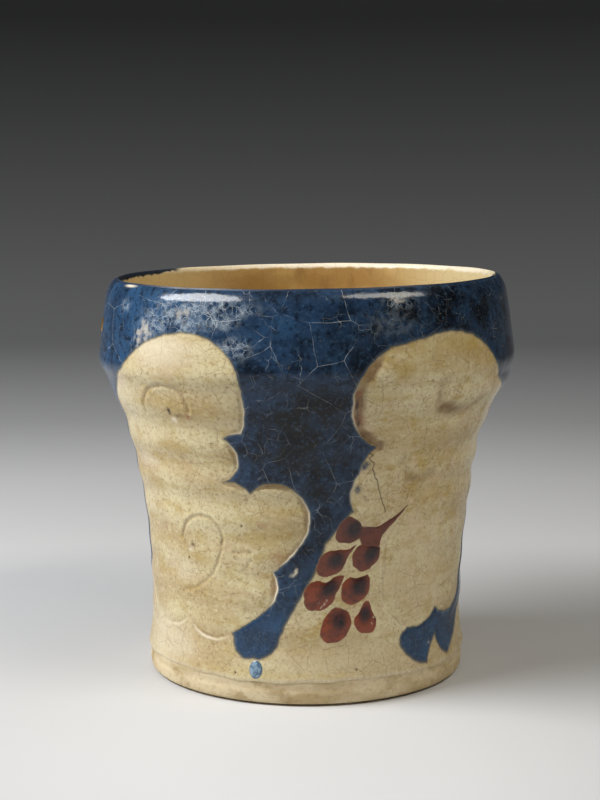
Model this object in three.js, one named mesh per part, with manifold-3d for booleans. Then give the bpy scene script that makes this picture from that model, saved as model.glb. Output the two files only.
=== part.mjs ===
// A hand-thrown raku vase: a cream earthenware body with a flaring wall, a heavy rim band and a turned
// foot, glazed in coats. Blue glaze covers the rim and runs down in tails between four carved leaves.
// Clear glaze covers the leaves, the ground below them and the inside. A bunch of grapes in iron-red
// slip hangs by each pair of leaves. Millimetres, +Z up, the foot stands on z = 0, the front faces -Y.
import * as THREE from "three";
import { mergeVertices } from "three/addons/utils/BufferGeometryUtils.js";
import Module from "manifold-3d";

const wasm = await Module();
wasm.setup();

// Driving dimensions of the glazed outside, from the foot up
const HEIGHT = 150;
const FOOT_RADIUS = 59.4;
const FOOT_EDGE = 2.2; // rounding of the edge that the vase stands on
const GLAZE_LINE_HEIGHT = 9; // the bare band of the foot ends here
const GLAZE_LINE_RADIUS = 60.9;
const GLAZE_OVERHANG = 0.4; // how far the coat stands out from the bare band
const WAIST_HEIGHT = 25;
const WAIST_RADIUS = 59.2;
const NECK_DROP = 34; // the flare ends here; this and the next drops are taken from the lip down
const NECK_RADIUS = 75.9;
const SHOULDER_DROP = 25;
const SHOULDER_RADIUS = 78;
const RIM_DROP = 4;
const RIM_RADIUS = 75;

// Powers of the curves that lead from the waist to the foot, neck, shoulder and rim
const FOOT_CURVE = 2;
const FLARE_CURVE = 2.3;
const SHOULDER_CURVE = 2;
const RIM_CURVE = 1.5;

// Clay, glaze and slip
const LIP_WALL = 2.6; // clay at the lip
const FOOT_WALL = 6.5; // clay where the wall meets the floor
const FLOOR = 7;
const FLOOR_FILLET = 9;
const FOOT_RING_WIDTH = 10;
const FOOT_HOLLOW = 2; // depth of the hollow turned inside the foot ring
const GLAZE = 0.7;
const SEAT_GAP = 0.3; // between a coat and what it lies on
const GROOVE = 1.2; // carved outline round a leaf
const SLIP = 0.5; // thickness of a grape
const SPOT = 0.25; // thickness of the dark spot on it
const DAB_CROWN = 0.6; // share of a dab's breadth that its flat top takes

// Fineness of the faceted surfaces
const SEGMENTS = 36;
const FOOT_ROWS = 2; // rows from the glaze line to the waist, and so on up the wall
const FLARE_ROWS = 6;
const SHOULDER_ROWS = 2;
const RIM_ROWS = 2;
const INSIDE_ROWS = 6;
const CURVE_STEPS = 2; // rows in a fillet or in half a lip
const OUTLINE_STEP = 8;
const DAB_STEP = 4;
const DAB_SIDES = 10;
const CUTTER_LAYERS = 5;

// Outlines of the pattern: [degrees round the wall from the front, percent of the glazed height, bulge
// of the arc that leads to the next point]. They run clockwise as seen from outside. A bulge is an
// arc's rise over half its chord, positive outwards.
const RIM_BAND_FROM = 68; // percent: from here up all that is not leaf is blue
const LEFT_LEAF = [
  [-58, 79, 0.2],
  [-35.5, 89.5, 0.5],
  [-17.5, 75, 0.16],
  [-19, 64.7, -0.1],
  [-25, 63, 0.7],
  [-27, 51.5, 0.28],
  [-18, 49, 0.43],
  [-2.5, 49, 0.39],
  [-1.7, 36, 0.11],
  [-11.4, 28.5, 0.42],
  [-14, 18.5, 0.05],
  [-26, 12, 0.39],
  [-46, 13.7, 0.4],
  [-75, 19, 0.4],
  [-75, 37.5, 0.4],
  [-68, 68, 0.1],
];
const RIGHT_LEAF = [
  [12.4, 72, 0.31],
  [21.8, 86, 0],
  [36.8, 88.8, 0.28],
  [60.6, 79.5, 0.1],
  [63, 64.5, 0.35],
  [73.5, 45, 0.3],
  [73.5, 17.5, 0.38],
  [52.6, 15.3, 0.33],
  [35, 13, 0.31],
  [26.8, 26, 0.22],
  [33, 43.5, 0.43],
  [16.6, 42.4, 0.35],
  [16, 54, 0.15],
  [20.8, 60.8, 0.33],
];
const FRONT_TAIL = [
  [-38, 93, 0],
  [36, 93, 0],
  [30, 47, 0],
  [14.4, 44, 0],
  [6, 36, 0.05],
  [2.9, 29, 0],
  [-6.8, 16, 0],
  [-9.5, 11.5, 0.42],
  [-19, 5.8, 0.6],
  [-26, 11, 0],
  [-34, 18, 0],
  [-40, 64, 0],
];
const SIDE_TAIL = [
  [50, 93, 0],
  [130, 93, 0],
  [112, 36, 0],
  [101, 26, 0.08],
  [84, 16, 0.04],
  [74, 10.4, 0.09],
  [60.7, 2, 0.29],
  [53, 8.2, -0.18],
  [47, 1.6, 0.22],
  [35.2, 7, 0.46],
  [37.2, 11.2, 0],
  [48, 19, 0],
  [58, 64, 0],
];
const STEM = [
  [19.8, 40.4, -0.24],
  [26, 40, 0],
  [35.8, 45.2, 0.06],
  [26.5, 37.4, -0.13],
  [25.7, 35.3, 0],
  [19.1, 36.4, -0.17],
];
const GRAPES = [ // one outline each, from the top of the bunch down
  [
    [9.4, 38, 0.32],
    [13.7, 43.2, 0.29],
    [19.1, 39.5, 0.45],
    [17, 36.5, 0.22],
    [10.3, 36.3, 0.41],
  ],
  [
    [15.3, 31.3, 0.42],
    [18.4, 35.5, 0.03],
    [25.6, 34.4, 0.37],
    [22.7, 29.3, 0.43],
    [16.8, 28.9, 0.42],
  ],
  [
    [2.9, 29.4, 0.34],
    [8.1, 34.4, 0],
    [14, 34.5, 0],
    [17.4, 35.7, -0.07],
    [13.5, 31.6, 0.42],
    [7.6, 27.5, 0.61],
  ],
  [
    [-1.3, 21.7, 0.54],
    [4, 26.4, 0],
    [7.1, 26, 0.2],
    [13.3, 27.9, 0.1],
    [10.3, 23, 0.41],
    [2.9, 18.4, 0.62],
  ],
  [
    [11.5, 23.3, 0.39],
    [14.9, 27.1, -0.15],
    [21.6, 27.6, 0.1],
    [22.6, 25.8, 0],
    [21.8, 22.4, 0.23],
    [15.6, 19.6, 0.51],
  ],
  [
    [4.4, 13.4, 0.22],
    [9.9, 19.7, 0],
    [14.5, 18.5, 0.37],
    [14.3, 12.4, 0.32],
    [7.3, 9.9, 0.46],
  ],
  [
    [16.4, 16.2, -0.1],
    [19.9, 20.2, 0.57],
    [22.3, 20.3, -0.08],
    [24.9, 15.4, 0.63],
    [20.5, 11.9, 0.53],
  ],
];

// Dabs: [degrees, percent, half length, half width, tilt in degrees]
const SPOTS = [ // the dark spots on the grapes
  [15.6, 39.7, 2.7, 2.3, 30],
  [22.4, 33, 3.2, 2.1, 50],
  [10, 31.7, 2.5, 2.2, 35],
  [7.4, 24.2, 3.2, 2.2, 42],
  [18.1, 24.4, 3, 2.4, 40],
  [11.3, 15.6, 2.8, 2.4, 60],
  [20.5, 17, 2.5, 2, 80],
];
const DROP = [-17.6, 2.9, 3.2, 2.8, 90]; // a stray drop of blue under the front tail
const MEND = [-79, 88.5, 3.2, 1.9, 70]; // a chip in the rim band, filled with gold lacquer

const MATERIALS = {
  clay: new THREE.MeshStandardMaterial({ color: 0xcdb892, roughness: 0.85, metalness: 0 }),
  clear: new THREE.MeshStandardMaterial({ color: 0xcfbd8e, roughness: 0.28, metalness: 0 }),
  inside: new THREE.MeshStandardMaterial({ color: 0xbd9a5c, roughness: 0.35, metalness: 0 }),
  blue: new THREE.MeshStandardMaterial({ color: 0x1f3a63, roughness: 0.15, metalness: 0 }),
  iron: new THREE.MeshStandardMaterial({ color: 0x7e3f2c, roughness: 0.3, metalness: 0 }),
  dark: new THREE.MeshStandardMaterial({ color: 0x33292b, roughness: 0.3, metalness: 0 }),
  gold: new THREE.MeshStandardMaterial({ color: 0xc9a04a, roughness: 0.35, metalness: 1 }),
};

const glazedHeight = HEIGHT - GLAZE_LINE_HEIGHT;
const neckHeight = HEIGHT - NECK_DROP;
const shoulderHeight = HEIGHT - SHOULDER_DROP;
const rimHeight = HEIGHT - RIM_DROP;
const floorHeight = FOOT_HOLLOW + FLOOR;
const coat = GLAZE + SEAT_GAP;
const lipRadius = RIM_RADIUS - coat - LIP_WALL / 2; // the lip's crest is over the middle of the clay
const girthRadius = (WAIST_RADIUS + NECK_RADIUS) / 2; // the pattern is drawn flat at this radius

// The wall

function curved(fromRadius, toRadius, way, power) {
  return fromRadius + (toRadius - fromRadius) * way ** power;
}

// Radius of the glazed outside at a height
function wallRadius(z) {
  if (z < WAIST_HEIGHT) {
    const way = (WAIST_HEIGHT - z) / (WAIST_HEIGHT - GLAZE_LINE_HEIGHT);
    return curved(WAIST_RADIUS, GLAZE_LINE_RADIUS, way, FOOT_CURVE);
  }
  if (z < neckHeight) {
    const way = (z - WAIST_HEIGHT) / (neckHeight - WAIST_HEIGHT);
    return curved(WAIST_RADIUS, NECK_RADIUS, way, FLARE_CURVE);
  }
  if (z < shoulderHeight) {
    const way = (shoulderHeight - z) / (shoulderHeight - neckHeight);
    return curved(SHOULDER_RADIUS, NECK_RADIUS, way, SHOULDER_CURVE);
  }
  const way = (z - shoulderHeight) / (rimHeight - shoulderHeight);
  return curved(SHOULDER_RADIUS, RIM_RADIUS, way, RIM_CURVE);
}

// Radius of the clay on the inside, which thins from the floor to the lip
function insideRadius(z) {
  const wall = THREE.MathUtils.mapLinear(z, floorHeight, HEIGHT, FOOT_WALL, LIP_WALL);
  return wallRadius(z) - coat - wall;
}

// Heights that divide a stretch of wall into even rows, without the last one
function heights(from, to, rows) {
  return Array.from({ length: rows }, (_, i) => THREE.MathUtils.lerp(from, to, i / rows));
}

// Rows of the outside from the glaze line to the rim, lying under the glazed outside by a depth
function outsideRows(depth) {
  const rows = [
    ...heights(GLAZE_LINE_HEIGHT, WAIST_HEIGHT, FOOT_ROWS),
    ...heights(WAIST_HEIGHT, neckHeight, FLARE_ROWS),
    ...heights(neckHeight, shoulderHeight, SHOULDER_ROWS),
    ...heights(shoulderHeight, rimHeight, RIM_ROWS),
    rimHeight,
  ];
  return rows.map((z) => new THREE.Vector2(wallRadius(z) - depth, z));
}

// Rows of the inside from the top of the floor's fillet to the rim, standing off the clay by a depth
function insideRows(depth) {
  const rows = [...heights(floorHeight + FLOOR_FILLET, rimHeight, INSIDE_ROWS), rimHeight];
  return rows.map((z) => new THREE.Vector2(insideRadius(z) - depth, z));
}

// A quarter of an ellipse round a centre, between two angles in quarter turns, without its first point
function quarter(centre, reach, rise, from, to) {
  return Array.from({ length: CURVE_STEPS }, (_, i) => {
    const angle = (from + ((to - from) * (i + 1)) / CURVE_STEPS) * (Math.PI / 2);
    return new THREE.Vector2(centre.x + reach * Math.cos(angle), centre.y + rise * Math.sin(angle));
  });
}

// The outer half of the lip, from the rim to the crest
function outerLip(depth) {
  const reach = RIM_RADIUS - depth - lipRadius;
  return quarter(new THREE.Vector2(lipRadius, rimHeight), reach, RIM_DROP - depth, 0, 1);
}

// The inner half of the lip, from the inside wall to the crest
function innerLip(depth) {
  const crest = lipRadius - SEAT_GAP;
  const reach = crest - insideRadius(rimHeight) + depth;
  return quarter(new THREE.Vector2(crest, rimHeight), reach, RIM_DROP - coat + depth, 2, 1);
}

// The floor of the inside with its fillet, from the axis to the wall
function floorRows(depth) {
  const wall = insideRows(depth)[0];
  const level = floorHeight + depth;
  const centre = new THREE.Vector2(wall.x - FLOOR_FILLET, wall.y);
  const fillet = quarter(centre, FLOOR_FILLET, wall.y - level, -1, 0);
  return [new THREE.Vector2(0, level), new THREE.Vector2(centre.x, level), ...fillet.slice(0, -1)];
}

// Turned solids

// A geometry with only its positions, and one vertex where several meet
function closed(geometry) {
  geometry.deleteAttribute("normal");
  geometry.deleteAttribute("uv");
  return mergeVertices(geometry);
}

function turned(profile) {
  return closed(new THREE.LatheGeometry(profile, SEGMENTS).rotateX(Math.PI / 2));
}

function clayBody() {
  const hollow = FOOT_RADIUS - FOOT_RING_WIDTH;
  const edge = new THREE.Vector2(FOOT_RADIUS - FOOT_EDGE, FOOT_EDGE);
  const ledge = GLAZE_LINE_HEIGHT - SEAT_GAP;
  const wall = outsideRows(coat);
  return turned([
    new THREE.Vector2(0, FOOT_HOLLOW),
    new THREE.Vector2(hollow - FOOT_HOLLOW, FOOT_HOLLOW),
    new THREE.Vector2(hollow, 0),
    new THREE.Vector2(edge.x, 0),
    ...quarter(edge, FOOT_EDGE, FOOT_EDGE, -1, 0),
    new THREE.Vector2(GLAZE_LINE_RADIUS - GLAZE_OVERHANG, ledge),
    new THREE.Vector2(wall[0].x, ledge),
    ...wall,
    ...outerLip(coat),
    ...innerLip(0).reverse(),
    ...insideRows(0).reverse(),
    ...floorRows(0).reverse(),
  ]);
}

// The coat of glaze on the whole outside, which the pattern divides
function outsideCoat() {
  const outer = [...outsideRows(0), ...outerLip(0)];
  const inner = [...outsideRows(GLAZE), ...outerLip(GLAZE)];
  return turned([...outer, ...inner.reverse(), outer[0]]);
}

function insideCoat() {
  const seat = [...floorRows(SEAT_GAP), ...insideRows(SEAT_GAP), ...innerLip(SEAT_GAP)];
  const face = [...floorRows(coat), ...insideRows(coat), ...innerLip(coat)];
  return turned([...seat, ...face.reverse()]);
}

// The pattern, drawn flat: x is the girth from the front and y the height

function onPattern(degrees, percent) {
  const girth = THREE.MathUtils.degToRad(degrees) * girthRadius;
  return new THREE.Vector2(girth, GLAZE_LINE_HEIGHT + (percent / 100) * glazedHeight);
}

function onVase(point, radius) {
  const angle = point.x / girthRadius;
  return new THREE.Vector3(radius * Math.sin(angle), -radius * Math.cos(angle), point.y);
}

// Points along an arc of the given bulge, about a step apart, without its last one
function arc(from, to, bulge, step) {
  const chord = to.clone().sub(from);
  const steps = Math.ceil((chord.length() * (1 + bulge ** 2)) / step);
  const half = 2 * Math.atan(bulge);
  return Array.from({ length: steps }, (_, i) => {
    const way = (2 * i) / steps - 1;
    const along = bulge ? Math.sin(half * way) / Math.sin(half) : way;
    const rise = bulge ? (Math.cos(half * way) - Math.cos(half)) / Math.sin(half) : 0;
    const out = new THREE.Vector2(-chord.y, chord.x).multiplyScalar(rise / 2);
    return from.clone().addScaledVector(chord, (along + 1) / 2).add(out);
  });
}

// A closed outline of arcs, moved round the wall by a turn in degrees
function outline(points, turn, step) {
  const corners = points.map(([degrees, percent]) => onPattern(degrees + turn, percent));
  return points.flatMap((point, i) => arc(corners[i], corners[(i + 1) % corners.length], point[2], step));
}

function ellipse(middle, halfLength, halfWidth, tilt) {
  const curve = new THREE.EllipseCurve(middle.x, middle.y, halfLength, halfWidth, 2 * Math.PI, 0, true);
  curve.aRotation = THREE.MathUtils.degToRad(tilt);
  return curve.getPoints(DAB_SIDES).slice(1);
}

// An outline moved inwards by a distance, or outwards where it is negative
function inset(points, distance) {
  const inward = points.map((point, i) => {
    const side = points[(i + 1) % points.length].clone().sub(point);
    return new THREE.Vector2(side.y, -side.x).normalize();
  });
  return points.map((point, i) => {
    const mitre = inward[i].clone().add(inward.at(i - 1));
    return point.clone().addScaledVector(mitre, (2 * distance) / Math.max(mitre.lengthSq(), 1));
  });
}

// Joining and cutting

function solid(geometry) {
  const vertProperties = new Float32Array(geometry.getAttribute("position").array);
  const triVerts = new Uint32Array(geometry.getIndex().array);
  return new wasm.Manifold(new wasm.Mesh({ numProp: 3, vertProperties, triVerts }));
}

function faceted(body) {
  const mesh = body.getMesh();
  const geometry = new THREE.BufferGeometry();
  geometry.setAttribute("position", new THREE.BufferAttribute(mesh.vertProperties, 3));
  geometry.setIndex(new THREE.BufferAttribute(mesh.triVerts, 1));
  return geometry;
}

// Radius of a cutter's layer: the first is deep inside the vase, the last far outside it, and those
// between lie close together through the wall, so that the cut runs square to it
function layerRadius(layer) {
  if (layer === 0) {
    return WAIST_RADIUS / 2;
  }
  if (layer === CUTTER_LAYERS) {
    return 2 * SHOULDER_RADIUS;
  }
  const way = (layer - 1) / (CUTTER_LAYERS - 2);
  return THREE.MathUtils.lerp(WAIST_RADIUS - 2 * coat, SHOULDER_RADIUS + 2 * coat, way);
}

// A block with the given outline, wrapped round the vase and running right through its wall
function cutter(points) {
  const options = { depth: CUTTER_LAYERS, steps: CUTTER_LAYERS, bevelEnabled: false };
  const geometry = new THREE.ExtrudeGeometry(new THREE.Shape(points), options);
  const position = geometry.getAttribute("position");
  for (let i = 0; i < position.count; i += 1) {
    const flat = new THREE.Vector2(position.getX(i), position.getY(i));
    position.setXYZ(i, ...onVase(flat, layerRadius(Math.round(position.getZ(i)))));
  }
  return solid(closed(geometry));
}

// A block that takes in everything from the foot of the rim band up, lowered by a gap
function bandCutter(gap) {
  const radius = layerRadius(CUTTER_LAYERS);
  const geometry = new THREE.CylinderGeometry(radius, radius, HEIGHT).rotateX(Math.PI / 2);
  geometry.translate(0, 0, onPattern(0, RIM_BAND_FROM).y - gap + HEIGHT / 2);
  return solid(closed(geometry));
}

// A dab of slip, glaze or lacquer on the glazed wall: flat below, rounded over above
function dab(points, lift, thickness) {
  const sum = points.reduce((total, point) => total.add(point), new THREE.Vector2());
  const middle = sum.divideScalar(points.length);
  const crown = points.map((point) => middle.clone().lerp(point, DAB_CROWN));
  const seat = (point) => wallRadius(point.y) + SEAT_GAP + lift;
  const vertices = [
    ...points.map((point) => onVase(point, seat(point))),
    ...crown.map((point) => onVase(point, seat(point) + thickness)),
    onVase(middle, seat(middle)),
    onVase(middle, seat(middle) + thickness),
  ];
  const count = points.length;
  const below = 2 * count;
  const above = below + 1;
  const index = points.flatMap((_, i) => {
    const next = (i + 1) % count;
    const side = [next, i, count + i, next, count + i, count + next];
    return [i, next, below, ...side, count + next, count + i, above];
  });
  const geometry = new THREE.BufferGeometry().setFromPoints(vertices);
  geometry.setIndex(index);
  return geometry;
}

// The vase

const vase = new THREE.Group();

function add(name, geometry, material) {
  geometry.computeVertexNormals();
  const mesh = new THREE.Mesh(geometry, material);
  mesh.name = name;
  vase.add(mesh);
}

add("clay_body", clayBody(), MATERIALS.clay);
add("inside_glaze_coat", insideCoat(), MATERIALS.inside);

const sides = { front: 0, back: 180 }; // the pattern's two halves and their turns in degrees
const coatSolid = solid(outsideCoat());
let blue = bandCutter(0);
let notGround = bandCutter(SEAT_GAP);
let leaves = null;
for (const [side, turn] of Object.entries(sides)) {
  for (const tail of [FRONT_TAIL, SIDE_TAIL]) {
    const edge = outline(tail, turn, OUTLINE_STEP);
    blue = blue.add(cutter(edge));
    notGround = notGround.add(cutter(inset(edge, -SEAT_GAP)));
  }
  for (const [hand, points] of Object.entries({ left: LEFT_LEAF, right: RIGHT_LEAF })) {
    const edge = outline(points, turn, OUTLINE_STEP);
    leaves = leaves ? leaves.add(cutter(edge)) : cutter(edge);
    const leaf = coatSolid.intersect(cutter(inset(edge, GROOVE)));
    add(`leaf_${side}_${hand}`, faceted(leaf), MATERIALS.clear);
  }
}
add("blue_glaze_coat", faceted(coatSolid.intersect(blue).subtract(leaves)), MATERIALS.blue);
add("ground_glaze_coat", faceted(coatSolid.subtract(notGround).subtract(leaves)), MATERIALS.clear);

for (const [side, turn] of Object.entries(sides)) {
  add(`stem_${side}`, dab(outline(STEM, turn, DAB_STEP), 0, SLIP), MATERIALS.iron);
  GRAPES.forEach((points, i) => {
    add(`grape_${side}_${i + 1}`, dab(outline(points, turn, DAB_STEP), 0, SLIP), MATERIALS.iron);
  });
  SPOTS.forEach(([degrees, percent, ...shape], i) => {
    const spot = ellipse(onPattern(degrees + turn, percent), ...shape);
    add(`grape_spot_${side}_${i + 1}`, dab(spot, SLIP + SEAT_GAP, SPOT), MATERIALS.dark);
  });
}
for (const [name, [degrees, percent, ...shape], material] of [
  ["blue_drop", DROP, MATERIALS.blue],
  ["gold_mend", MEND, MATERIALS.gold],
]) {
  add(name, dab(ellipse(onPattern(degrees, percent), ...shape), 0, SLIP), material);
}

export default vase;
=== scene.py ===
"""A hand-thrown raku vase: a cream earthenware body glazed in coats over carved leaves and slip grapes.

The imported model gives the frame. Every piece is modelled around it at its real size, in metres, +Z up,
with the front facing -Y. The outside is one turned wall: the outlines of the leaves and the blue glaze
are drawn flat, as the girth from the front and the height, and the wall is parted along them.
"""

import math

import bpy
import numpy as np
from mathutils import Matrix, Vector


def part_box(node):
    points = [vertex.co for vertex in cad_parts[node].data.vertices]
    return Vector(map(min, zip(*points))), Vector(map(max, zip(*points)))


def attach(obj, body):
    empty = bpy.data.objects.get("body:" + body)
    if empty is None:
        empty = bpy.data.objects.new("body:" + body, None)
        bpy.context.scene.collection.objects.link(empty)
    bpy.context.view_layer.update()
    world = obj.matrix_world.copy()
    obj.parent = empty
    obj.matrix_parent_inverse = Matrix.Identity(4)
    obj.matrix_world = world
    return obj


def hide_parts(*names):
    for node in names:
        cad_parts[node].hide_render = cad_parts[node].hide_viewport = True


bl_info = {
    "name": "Raku vase",
    "version": (1, 0, 0),
    "blender": (4, 5, 0),
    "location": "View3D > Sidebar > Vase",
    "description": "Models and glazes a hand-thrown raku vase with carved leaves and grapes",
    "category": "Object",
}

MM = 0.001

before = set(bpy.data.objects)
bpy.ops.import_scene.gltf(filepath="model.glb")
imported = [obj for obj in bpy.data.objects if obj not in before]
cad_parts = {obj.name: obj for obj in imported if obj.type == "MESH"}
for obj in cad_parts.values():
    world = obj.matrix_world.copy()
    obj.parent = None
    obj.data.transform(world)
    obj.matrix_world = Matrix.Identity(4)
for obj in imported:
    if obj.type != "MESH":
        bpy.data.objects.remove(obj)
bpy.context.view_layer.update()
BLUE_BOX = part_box("blue_glaze_coat")
GROUND_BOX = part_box("ground_glaze_coat")

# Outlines of the pattern: (degrees round the wall from the front, percent of the glazed height, bulge
# of the arc that leads to the next point). They run clockwise as seen from outside, and a bulge is an
# arc's rise over half its chord, positive outwards.
RIM_BAND_FROM = 68  # percent: from here up all that is not leaf is blue
LEFT_LEAF = (
    (-58, 79, 0.2), (-35.5, 89.5, 0.5), (-17.5, 75, 0.16), (-19, 64.7, -0.1), (-25, 63, 0.7),
    (-27, 51.5, 0.28), (-18, 49, 0.43), (-2.5, 49, 0.39), (-1.7, 36, 0.11), (-11.4, 28.5, 0.42),
    (-14, 18.5, 0.05), (-26, 12, 0.39), (-46, 13.7, 0.4), (-77, 18, 0.3), (-79, 33, 0.12),
    (-80, 55, 0.1), (-72, 70, 0.1),
)
RIGHT_LEAF = (
    (12.4, 72, 0.31), (21.8, 86, 0), (36.8, 88.8, 0.28), (60.6, 79.5, 0.04), (66, 75, 0.04),
    (78, 68.5, 0.06), (85, 57, 0.04), (84, 40, 0.08), (75, 17.5, 0.35), (52.6, 15.3, 0.33),
    (35, 13, 0.31), (26.8, 26, 0.22), (33, 43.5, 0.43), (16.6, 42.4, 0.35), (16, 54, 0.15),
    (20.8, 60.8, 0.33),
)
FRONT_TAIL = (
    (-38, 93, 0), (36, 93, 0), (30, 47, 0), (14.4, 44, 0), (6, 36, 0.05), (2.9, 29, 0),
    (-6.8, 16, 0), (-9.5, 11.5, 0.42), (-19, 5.8, 0.6), (-26, 11, 0), (-34, 18, 0), (-40, 64, 0),
)
SIDE_TAIL = (
    (50, 93, 0), (130, 93, 0), (112, 36, 0), (101, 26, 0.08), (84, 16, 0.04), (74, 10.4, 0.09),
    (60.7, 2, 0.29), (53, 8.2, -0.18), (47, 1.6, 0.22), (35.2, 7, 0.46), (37.2, 11.2, 0),
    (48, 19, 0), (58, 64, 0),
)
STEM = (
    (17.6, 40.2, 0), (22.6, 39.6, -0.1), (27, 40.9, -0.06), (35.8, 45.2, 0.06), (29.3, 39.8, -0.06),
    (26.2, 37.4, -0.12), (25, 33.8, 0), (19, 33.8, 0), (17.2, 36.8, 0),
)
GRAPES = (
    ((9.4, 38, 0.32), (13.7, 43.2, 0.29), (19.1, 39.5, 0.45), (17, 36.5, 0.22), (10.3, 36.3, 0.41)),
    ((15.3, 31.3, 0.42), (18.4, 35.5, 0.03), (25.6, 34.4, 0.37), (22.7, 29.3, 0.43), (16.8, 28.9, 0.42)),
    (
        (2.9, 29.4, 0.34), (8.1, 34.4, 0), (14, 34.5, 0),
        (17.4, 35.7, -0.07), (13.5, 31.6, 0.42), (7.6, 27.5, 0.61),
    ),
    (
        (-1.3, 21.7, 0.54), (4, 26.4, 0), (7.1, 26, 0.2),
        (13.3, 27.9, 0.1), (10.3, 23, 0.41), (2.9, 18.4, 0.62),
    ),
    (
        (11.5, 23.3, 0.39), (14.9, 27.1, -0.15), (21.6, 27.6, 0.1),
        (22.6, 25.8, 0), (21.8, 22.4, 0.23), (15.6, 19.6, 0.51),
    ),
    ((4.4, 13.4, 0.22), (9.9, 19.7, 0), (14.5, 18.5, 0.37), (14.3, 12.4, 0.32), (7.3, 9.9, 0.46)),
    ((16.4, 16.2, -0.1), (19.9, 20.2, 0.57), (22.3, 20.3, -0.08), (24.9, 15.4, 0.63), (20.5, 11.9, 0.53)),
)

# Lines cut into the leaves with a point, and broad hollows pressed into them, in the same terms
SCROLLS = (  # each with its strength
    (0.9, ((-52.5, 68, 0.25), (-46, 75, 0.29), (-35.8, 74.3, 0.2), (-34.1, 69.7, 0))),
    (1, ((-47.2, 35, 0.33), (-36.1, 41.6, 0.51), (-29.5, 34.5, 0))),
    (0.6, ((-29.5, 34.5, 0.2), (-38.2, 23.8, 0.12), (-49.8, 20.7, 0))),
    (0.5, ((-25.1, 32.8, 0.05), (-19.2, 33, 0))),
    (0.3, ((-19.2, 33, 0.35), (-20.1, 29.9, 0.15), (-23.1, 27.7, 0))),
    (0.6, ((60.4, 78.9, 0.05), (64.9, 64, 0.05), (64, 56.6, 0))),
    (0.35, ((64, 56.6, 0.05), (61, 49, 0))),
)
HOLLOWS = (
    ((38.5, 76.5, -0.3), (42.1, 68.8, -0.3), (50.1, 68, -0.12), (57.3, 69.6, 0)),
    ((30.8, 55.7, -0.15), (36, 51, -0.2), (44, 52.4, 0)),
)
CRACK = (
    (18, 59.7, 0), (20.2, 58.7, 0), (19, 58, 0), (20.8, 56.6, 0), (20.3, 55, 0), (21.4, 52.9, 0),
    (22.2, 52, 0), (23.5, 49.1, 0), (24.7, 46.4, 0), (26.1, 43.7, 0),
)
PINHOLES = ((-21.6, 40.1), (-42.3, 33.4), (-44.6, 29.7), (-41.3, 69.4), (17.2, 2.8), (-25.1, 1.7))

# Dabs: (degrees, percent, half length and half width in mm, tilt in degrees)
SPOTS = (
    (15.6, 39.7, 2.9, 2.4, 30), (22.4, 33.1, 3.6, 2.2, 50), (10, 31.7, 2.7, 2.3, 35),
    (7.6, 24.3, 3.6, 2.3, 42), (18.1, 24.4, 3.3, 2.6, 40), (11.3, 15.6, 2.9, 2.5, 60),
    (20.5, 17, 2.8, 2.2, 80),
)
DROP = (-17.6, 2.9, 3.2, 2.8, 90)
MEND = (-79, 88.5, 3.2, 1.9, 70)
HALVES = {"front": 0, "back": 180}  # the pattern's two halves and their turns in degrees

# Places where the glaze changes: (degrees, percent, half width and half height in mm, strength).
# The first four lie on the leaves and come again on the back.
CARVED = (  # cut back and stained brown
    (-18, 68, 5, 11, 0.3), (-21, 59.5, 4, 6, 0.5), (-23, 50, 5, 3, 0.5), (-9.5, 52, 9, 4, 0.65),
    (-0.5, 44, 5, 8, 0.5), (-4, 34, 5, 6, 0.35), (-11.5, 24, 4, 5, 0.35), (17, 80, 6, 6, 0.9),
    (13.5, 72, 7, 11, 1), (17, 63, 7, 5, 1), (21.5, 61.5, 6, 3, 0.8), (17.5, 42.5, 7, 4, 0.4),
)
BROWNS_AND_SHADE = (  # stained brown in the hollows, partly painted shade in them
    (42, 69.6, 4.6, 2.4, 0.95), (46, 68.6, 5.5, 1.8, 0.9), (38.3, 72.8, 1.5, 4.6, 0.6),
    (52, 68.3, 5, 1.2, 0.5), (57, 70.5, 3, 1.4, 0.35), (35, 51.6, 4, 1.6, 0.6),
    (42.5, 53, 3, 1.2, 0.35), (31, 56.5, 1.4, 3, 0.35),
)
BARE = (  # a thin line of bare pale clay
    (-18.5, 67, 5, 10, 0.45), (-20.8, 58.8, 4, 5, 0.75), (-1, 41, 4, 9, 0.9), (-6, 33, 6, 4, 0.7),
    (-10.5, 24, 4, 6, 1), (12.7, 70.5, 4, 8, 0.85), (15, 50, 4, 9, 0.35),
)
DRAWN = (  # the leaf's edge drawn with a point where no blue lies beside it
    (-37.9, 10.1, 10, 4, 0.9), (-55, 13, 9, 5, 0.7), (-75, 17, 9, 9, 0.5), (28, 27, 4, 14, 0.4),
    (33, 14, 9, 5, 0.45),
)
PALES_AND_SHEEN = (  # cleaner, paler glaze; the first two are a painted sheen along the right silhouette
    (71, 67, 5, 18, 0.8), (76, 52, 4, 10, 0.5), (16, 5, 40, 8, 0.45), (44, 28, 18, 19, 0.45),
    (-42, 85, 15, 7, 0.75), (-66, 79, 9, 16, 0.6), (-62, 54, 8, 3, 0.5), (-60, 6, 22, 8, 0.6),
    (-48, 26, 8, 5, 0.35),
)
OCHRES = (  # stained yellower
    (-44, 59.6, 9, 2.2, 0.6), (-58, 48, 7, 2.5, 0.5), (25.5, 80, 4, 4, 0.65),
    (45, 86, 14, 3.5, 0.55), (56, 81, 6, 6, 0.45), (48, 47, 16, 3, 0.4), (-38, 71, 12, 3, 0.4),
    (-8, 2, 40, 2, 0.3), (44, 28, 18, 19, 0.26), (16, 6, 40, 8, 0.28), (-9, 40, 10, 10, 0.25),
    (36, 63, 16, 8, 0.16),
)
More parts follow.
